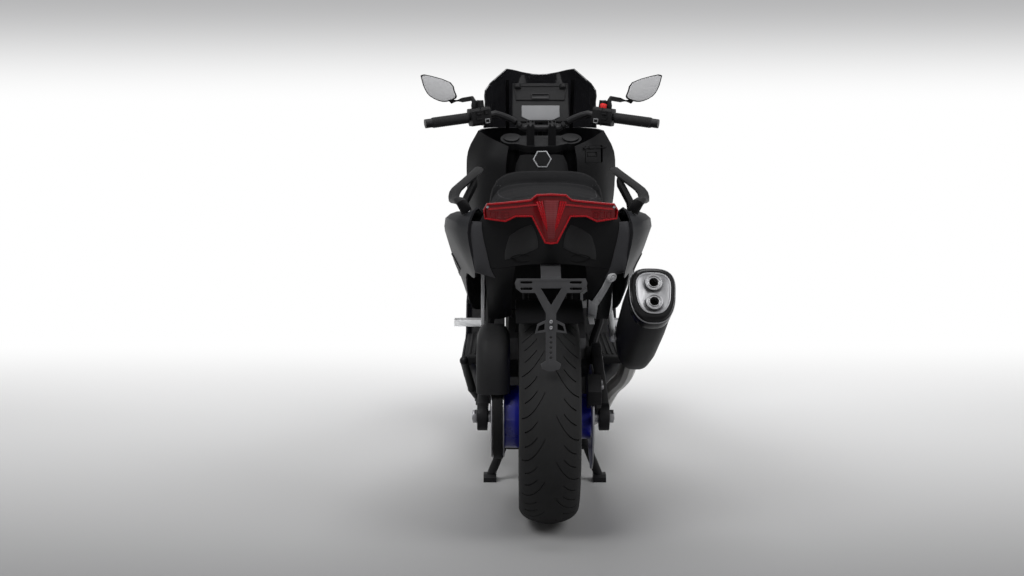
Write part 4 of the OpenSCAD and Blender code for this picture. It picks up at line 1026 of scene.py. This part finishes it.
def cockpit():
    """Switch keys, stop switch, seams, grip ribs and screws at the handlebar."""
    grip = bar_frame()

    def add(piece, name, material, sides="both", edge=0.8):
        round_edges(piece, edge)
        put(piece, grip)
        if sides == "left":
            twin = mirrored(piece, name + "_left")
            bpy.data.objects.remove(piece)
            dress(twin, material, "steering")
            return
        piece.name = name + "_right"
        if sides == "both":
            dress_pair(piece, name + "_left", material, "steering")
        else:
            dress(piece, material, "steering")

    # Keys on the back of both switch blocks
    add(key_cap("key", (9, -34.5, 34), (24, -29.5, 50)), "start_key_frame", ALLOY, edge=1.2)
    add(key_cap("key", (12.2, -35.4, 37), (20.8, -31.8, 47), 0.7, 1.4), "start_key", TRIM)
    add(key_cap("key", (-19, -36, 56), (-8, -29.5, 76), 1.2, 1.6), "rocker_key", TRIM, edge=1.4)
    add(key_cap("key", (-2, -35, 60), (9, -29.5, 78), 1.0, 1.6), "round_key", TRIM, edge=2.0)
    add(key_cap("key", (-22, -35, 33), (-6, -29.5, 48), 1.2, 2.0), "menu_key", TRIM, "left", 1.2)

    stop = begin("cylinder", "stop_switch", vertices=32, radius=0.0112, depth=0.013,
                 location=(-0.0335, -0.006, 0.055), rotation=(0, math.radians(90), 0))
    stepped(stop, (-1, 0, 0), (3.0, 2.2), (2.0, -0.9))
    add(stop, "stop_switch", STOP_RED, "right", 1.0)

    # Seam round each switch block
    band = grip_box("band", (-29.2, -31.0, 57.5), (30.2, 31.0, 59.5))
    with Edit(band) as edit:
        edit.faces(lambda p, n: abs(n.z) > 0.9)
        edit.inset(6.0, -0.4)
    add(band, "block_seam", FRAME_BLACK, edge=0.5)

    # Ribs of the rubber grips
    ring = begin("cylinder", "grip_rib", vertices=36, radius=0.0178, depth=0.0042)
    with Edit(ring) as edit:
        edit.faces(lambda p, n: abs(n.z) > 0.9)
        edit.inset(2.0, -0.6)
    round_edges(ring, 0.7, 1)
    places = [grip @ Matrix.Translation((0, 0, (103 + 6.6 * k) * MM)) for k in range(18)]
    ribs = repeated(ring, places, "grip_ribs_right")
    dress_pair(ribs, "grip_ribs_left", GRIP, "steering")

    # Screws of the reservoirs, and the bar clamp's caps
    heads = [(grip @ Vector((-0.050, y * MM, z * MM)), grip.to_3x3() @ Vector((-1, 0, 0)))
             for y, z in ((41, 48), (19, 48))]
    heads += [(Vector((-p.x, p.y, p.z)), Vector((-n.x, n.y, n.z))) for p, n in heads]
    bolts("reservoir_screws", "steering", 3.2, 2.4, heads)
    lean = Matrix.Rotation(math.radians(26), 4, "X")
    lean.translation = at(0, 1575, 274.5)
    caps = [(lean @ Vector((x * MM, y * MM, 0.873)), lean.to_3x3() @ Vector((0, 0, 1)))
            for x in (-43, -29, 29, 43) for y in (-45, -19)]
    bolts("bar_clamp_bolts", "steering", 4.0, 5.0, caps, FRAME_BLACK)


cockpit()


def dash_details():
    """Hood panel over the display, with its tray and two ears."""
    slope = facing(at(0, 1376, 1144), (0, -0.776, 0.630), (0, 0.630, 0.776))
    hood = begin("cube", "hood_panel", size=1.0, location=(0, 0, 0.0005), scale=(0.168, 0.066, 0.006))
    with Edit(hood) as edit:
        edit.faces(lambda p, n: n.y > 0.5)
        bpy.ops.transform.resize(value=(1.12, 1, 1), center_override=(0, 0, 0))
    stepped(hood, UP, (5, -3.2))
    round_edges(hood, 1.6)
    put(hood, slope)
    dress(hood, TRIM, "chassis")

    tray = begin("cube", "hood_tray", size=1.0, location=(0, -0.019, 0.0035), scale=(0.062, 0.022, 0.007))
    stepped(tray, UP, (2.4, -5.5))
    round_edges(tray, 1.0)
    put(tray, slope)
    dress(tray, FRAME_BLACK, "chassis")

    ear = begin("cube", "hood_ear", size=1.0, location=(0.078, 0.026, 0.006), scale=(0.026, 0.022, 0.010))
    with Edit(ear) as edit:
        edit.faces(lambda p, n: n.z > 0.5)
        bpy.ops.transform.resize(value=(0.6, 0.7, 1), center_override=(0.082, 0.030, 0))
    round_edges(ear, 2.2)
    put(ear, slope)
    dress_pair(ear, "hood_ear_left", TRIM, "chassis")


dash_details()


def screen_ribs():
    """Two stiffening ribs inside the screen, cut from its own sheet."""
    for side_name, side in SIDES:
        rib = linked("screen_rib_" + side_name, nodes["windscreen"].data.copy())
        rib.data.materials.clear()
        middle = side * 0.114
        with Edit(rib) as edit:
            edit.everything()
            bpy.ops.mesh.remove_doubles(threshold=SAME_POINT)
            for edge, away in ((middle - 0.006, -1), (middle + 0.006, 1)):
                edit.everything()
                bpy.ops.mesh.bisect(plane_co=(edge, 0, 0), plane_no=(away, 0, 0), clear_outer=True, use_fill=True)
            edit.everything()
            bpy.ops.mesh.bisect(plane_co=(0, 0, 1.192), plane_no=(0, 0, 1), clear_outer=True, use_fill=True)
        shape(rib, lambda p: p + Vector((0, -0.0062, -0.0036)))
        with Edit(rib) as edit:
            edit.face_out()
        dress(rib, TRIM, "chassis")


screen_ribs()


# Small trim


def spine_ring():
    """Plain bright ring on the back of the spine."""
    place, out = touch("tunnel", (0, 700, 934), (0, 1, 0))
    ring = begin("cylinder", "spine_ring", vertices=6, radius=0.031, depth=0.004, location=(0, 0, 0.001),
                 rotation=(0, 0, math.radians(30)))
    stepped(ring, UP, (3.6, -2.6))
    round_edges(ring, 1.0, 2)
    put(ring, facing(place, out))
    dress(ring, ALLOY, "chassis")
    field = begin("cylinder", "spine_field", vertices=6, radius=0.0272, depth=0.0016, location=(0, 0, 0.0009),
                  rotation=(0, 0, math.radians(30)))
    stepped(field, UP, (6, 0.5))
    round_edges(field, 0.4, 1)
    put(field, facing(place, out))
    dress(field, TRIM, "chassis")


spine_ring()


def chin_slots():
    """Lens-shaped slots beside the plate arm, filled with near-black painted shade."""
    for side_name, side in SIDES:
        place, out = touch("tail_cowl", (side * 72, -400, 744), (0, 1, 0))
        slot = begin("cylinder", "chin_slot_" + side_name, vertices=40, radius=1.0, depth=0.005)
        shape(slot, lambda p: Vector((p.x * 0.030, math.copysign(abs(p.y) ** 1.4, p.y) * 0.0105, p.z)))
        stepped(slot, UP, (1.8, -3.0))
        round_edges(slot, 0.6, 2)
        put(slot, facing(place, out))
        dress(slot, SLOT_PAINTED_SHADE, "chassis")


chin_slots()


def patch(name, node, corners, thick, rim=0.0, sink=0.0, bow=0.0, look="back", cuts=7):
    """A pad that follows a CAD node between four corners in mm, [x, z] from the back or front or [y, z] from the right.
    It has a sunken field if it has a rim, as shares of its size, and bow rounds its corners off."""
    tree = skin(node)
    pad = begin("cube", name, size=1.0)
    with Edit(pad) as edit:
        edit.cut(cuts)
        if rim:
            edit.faces(lambda p, n: n.y < -0.5)
            edit.inset(rim / MM)
            edit.push(0, sink / MM, 0)
    a, b, c, d = [Vector(corner) for corner in corners]

    def laid(p):
        u = p.x * (1 - bow * 2 * p.z * p.z) + 0.5
        v = p.z * (1 - bow * 2 * p.x * p.x) + 0.5
        flat = a.lerp(b, u).lerp(d.lerp(c, u), v)
        start, way = {"back": (at(flat.x, -500, flat.y), Vector((0, 1, 0))),
                      "front": (at(flat.x, 2200, flat.y), Vector((0, -1, 0))),
                      "right": (at(600, flat.x, flat.y), Vector((-1, 0, 0)))}[look]
        place, normal, face, distance = tree.ray_cast(start, way)
        if place is None:
            place, normal, face, distance = tree.find_nearest(start + way * 0.34)
        return start + way * ((place - start).dot(way) - thick * MM * (0.5 - p.y))

    shape(pad, laid)
    with Edit(pad) as edit:
        edit.face_out()
    return pad


def tail_relief():
    """Scoops beside the lamp's stem, strips between cowl and hips, and the cast muffler hanger on the right leg."""
    scoop = patch("tail_scoop_right", "tail_cowl", [(26, 772), (122, 733), (106, 804), (46, 838)], 1.6, bow=0.22)
    round_edges(scoop, 0.7, 2, 40)
    dress_pair(scoop, "tail_scoop_left", COVER_GREY, "chassis")
    for name, corners, rim in (("hanger_arm", [(112, 616), (128, 604), (164, 684), (150, 698)], 0.16),
                               ("hanger_foot", [(104, 562), (126, 562), (128, 606), (104, 622)], 0.14)):
        arm = patch(name, "tail_cowl", corners, 7.0, rim, 0.55)
        round_edges(arm, 0.9, 2, 40)
        # The hanger's lighter alloy is painted light.
        dress(arm, ALLOY_PAINTED_LIGHT, "chassis")
    hip, cowl = skin("side_panels"), skin("tail_cowl")
    strip = begin("cube", "hip_strip_right", size=1.0)
    with Edit(strip) as edit:
        edit.cut(7)

    def bridged(p):
        """A point between the edge of the cowl and the edge of the hip, at the same height."""
        z = 748 + 176 * p.z
        inner = cowl.find_nearest(at(174 + 0.085 * (z - 700), -190, z))[0]
        outer = hip.find_nearest(at(193 + 0.11 * (z - 700), -150, z))[0]
        return inner.lerp(outer, p.x + 0.5) + Vector((0, p.y * 0.003, 0))

    shape(strip, bridged)
    with Edit(strip) as edit:
        edit.face_out()
    round_edges(strip, 0.8, 2, 40)
    dress_pair(strip, "hip_strip_left", HIP_GREY, "chassis")
    place, out = touch("tail_cowl", (156, -500, 692), (0, 1, 0))
    boss = begin("cylinder", "hanger_boss", vertices=32, radius=0.012, depth=0.012, location=(0, 0, 0.005))
    stepped(boss, UP, (3.5, -2), (3, 3))
    round_edges(boss, 0.8)
    put(boss, facing(place, out))
    # The boss's lighter alloy is painted light.
    dress(boss, ALLOY_PAINTED_LIGHT, "chassis")


tail_relief()


# Piece, its node, its finish, its corners, then thickness, rim, sink and bow
SIDE_PADS = [
    ("side_blade", "side_panels", TRIM, [(210, 668), (790, 552), (790, 628), (240, 712)], 2.4, 0.05, 0.45, 0.1),
    # The vent's near-black field is painted shade.
    ("cowl_vent", "front_cowl", SLOT_PAINTED_SHADE, [(1345, 700), (1475, 655), (1500, 790), (1395, 832)],
     3.2, 0.09, 0.75, 0.15),
    ("cowl_louvre_low", "front_cowl", COVER_GREY, [(1368, 716), (1466, 683), (1468, 692), (1371, 726)], 3.6, 0, 0, 0),
    ("cowl_louvre_middle", "front_cowl", COVER_GREY, [(1384, 752), (1474, 722), (1476, 731), (1387, 762)],
     3.6, 0, 0, 0),
    ("cowl_louvre_high", "front_cowl", COVER_GREY, [(1400, 788), (1481, 761), (1483, 770), (1403, 798)], 3.6, 0, 0, 0),
    # The slot's near-black field is painted shade.
    ("fairing_slot", "lower_fairings", SLOT_PAINTED_SHADE, [(800, 262), (1010, 262), (1040, 300), (815, 300)],
     2.6, 0.1, 0.6, 0.1),
]
NOSE_PADS = [
    ("nose_panel", TRIM, [(-40, 770), (40, 770), (60, 884), (-60, 884)], 3.0, 0.1, 0.55, 0.12),
    # The intake's near-black field is painted shade.
    ("nose_intake", SLOT_PAINTED_SHADE, [(-70, 704), (70, 704), (58, 746), (-58, 746)], 3.0, 0.1, 0.75, 0.1),
    ("intake_bar_low", COVER_GREY, [(-60, 716), (60, 716), (58, 721), (-58, 721)], 3.0, 0, 0, 0),
    ("intake_bar_high", COVER_GREY, [(-55, 730), (55, 730), (53, 735), (-53, 735)], 3.0, 0, 0, 0),
]


def side_relief():
    """Blade along the side panel, louvred vent in the front cowl and slot in the lower fairing, on both sides."""
    for name, node, material, corners, thick, rim, sink, bow in SIDE_PADS:
        pad = patch(f"{name}_right", node, corners, thick, rim, sink, bow, "right", 31)
        round_edges(pad, 0.7, 2, 40)
        dress_pair(pad, f"{name}_left", material, "chassis")


side_relief()


def nose_relief():
    """Nose panel between the headlamps and the intake under it, with two bars."""
    for name, material, corners, thick, rim, sink, bow in NOSE_PADS:
        pad = patch(name, "front_cowl", corners, thick, rim, sink, bow, "front", 15)
        round_edges(pad, 0.7, 2, 40)
        dress(pad, material, "chassis")


nose_relief()


def floor_mats():
    """Ribbed rubber strips on the footboards."""
    rib = begin("cube", "mat_rib", size=1.0, scale=(0.009, 0.40, 0.0044))
    with Edit(rib) as edit:
        edit.faces(lambda p, n: n.z > 0.5)
        bpy.ops.transform.resize(value=(0.6, 0.985, 1), center_override=(0, 0, 0.0022))
        edit.inset(0.8, 0.4)
    round_edges(rib, 0.5, 1)
    places = [Matrix.Translation(at(side * (138 + 15 * k), 850, 353.2)) for side in (-1, 1) for k in range(7)]
    dress(repeated(rib, places, "floor_mats"), GRIP, "chassis")


floor_mats()


def lid_handle():
    """Sunken pull in the glove box lid."""
    place, out = touch("glovebox_lid", (168, 900, 946), (0, 1, 0))
    pull = begin("cube", "lid_handle", size=1.0, location=(0, 0, -0.0004), scale=(0.036, 0.016, 0.004))
    stepped(pull, UP, (1.8, -3))
    round_edges(pull, 0.8)
    put(pull, facing(place, out))
    # The pull's near-black is painted shade in the recess.
    dress(pull, SLOT_PAINTED_SHADE, "glovebox_lid")


lid_handle()


def radiator_fins():
    """Thin fins across the front of the radiator."""
    fin = begin("cube", "fin", size=1.0, scale=(0.196, 0.006, 0.0012))
    with Edit(fin) as edit:
        edit.cut(1)
        edit.faces(lambda p, n: n.y > 0.5)
        bpy.ops.transform.resize(value=(1, 1, 0.4), center_override=(0, 0.003, 0))
    places = [Matrix.Translation(at(0, 1264.6, 342 + 6.2 * k)) for k in range(26)]
    dress(repeated(fin, places, "radiator_fins"), FIN_GREY, "chassis")


radiator_fins()


for node_name, (finish, edge_width) in CAD_FINISH.items():
    finish_node(node_name, finish, edge_width)


# Studio


# Name, place, turn in degrees, size and power
LAMPS = [
    ("key", (-2.4, -3.4, 4.4), (44, 0, -34), 2.4, 120.0),
    ("fill", (3.2, -2.6, 3.4), (52, 0, 50), 2.4, 80.0),
    ("top", (0.0, 0.0, 4.8), (0, 0, 0), 3.0, 120.0),
]
CAMERA_BACK, CAMERA_HEIGHT, CAMERA_TILT = 4.353, 1.2086, 7.403  # metres behind the rear axle, metres, degrees down
SENSOR, FOCAL_PIXELS, PICTURE_WIDTH = 36.0, 1645.7, 1024


class Backdrop(Finish):
    """White all round, a little grey overhead, and plain soft light on the object."""

    def __init__(self, tree):
        self.tree = tree
        self.shader = tree.nodes["Background"]

    def build(self):
        direction = self.node("TexCoord", output=0)
        height = Value(self, self.node("SeparateXYZ", None, {0: direction}).socket.node.outputs[2])
        self.set("Color", self.mix(height.clamped(-0.018, 0.05), (1.0, 1.0, 1.0), (0.46, 0.46, 0.465)))
        path = self.node("LightPath").socket.node.outputs
        seen = Value(self, path["Is Camera Ray"]).largest(
            Value(self, path["Is Glossy Ray"])).largest(Value(self, path["Is Transmission Ray"]))
        self.set("Strength", 0.46 + seen * 0.54)


def studio():
    """Pale floor that fades to white, painted darker towards the camera as painted shade, soft lamps and the camera
    behind the scooter.
    """
    floor = Finish("floor", Roughness=0.6, Specular_IOR_Level=0.1)
    x, y, z = floor.axes()
    forward = y - REAR_AXLE.y
    # Painted shade: the floor's colour darkens from pale far ahead to dark grey behind the scooter, towards the camera.
    near = forward.clamped(-1.3, 2.3)
    floor.set("Base Color", floor.mix(near, (0.20, 0.20, 0.203), (0.93, 0.93, 0.93)))
    white = floor.node("Emission", None, {"Color": (1.0, 1.0, 1.0), "Strength": 1.0})
    far = (x * x + forward * forward) ** 0.5
    fade = forward.clamped(1.3, 3.0).largest(far.clamped(5.0, 8.0))
    shown = floor.node("MixShader", None, {0: fade, 1: Value(floor, floor.shader.outputs[0]), 2: white})
    floor.tree.links.new(shown.socket, floor.tree.nodes["Material Output"].inputs["Surface"])
    clear_selection()
    bpy.ops.mesh.primitive_plane_add(size=60.0, location=(0, 0, 0))
    ground = bpy.context.object
    ground.name = "floor"
    ground.data.materials.append(floor.material)

    world = bpy.data.worlds.new("studio")
    world.use_nodes = True
    bpy.context.scene.world = world
    Backdrop(world.node_tree).build()

    for name, place, turn, size, power in LAMPS:
        clear_selection()
        bpy.ops.object.light_add(type="AREA", location=place, rotation=[math.radians(a) for a in turn])
        lamp = bpy.context.object
        lamp.name = name
        lamp.data.size = size
        lamp.data.energy = power

    bpy.ops.object.camera_add(location=(-0.098, REAR_AXLE.y - CAMERA_BACK, CAMERA_HEIGHT),
                              rotation=(math.radians(90 - CAMERA_TILT), 0, 0))
    camera = bpy.context.object
    camera.data.sensor_width = SENSOR
    camera.data.lens = SENSOR * FOCAL_PIXELS / PICTURE_WIDTH
    bpy.context.scene.camera = camera
    bpy.context.scene.view_settings.view_transform = "Standard"


studio()
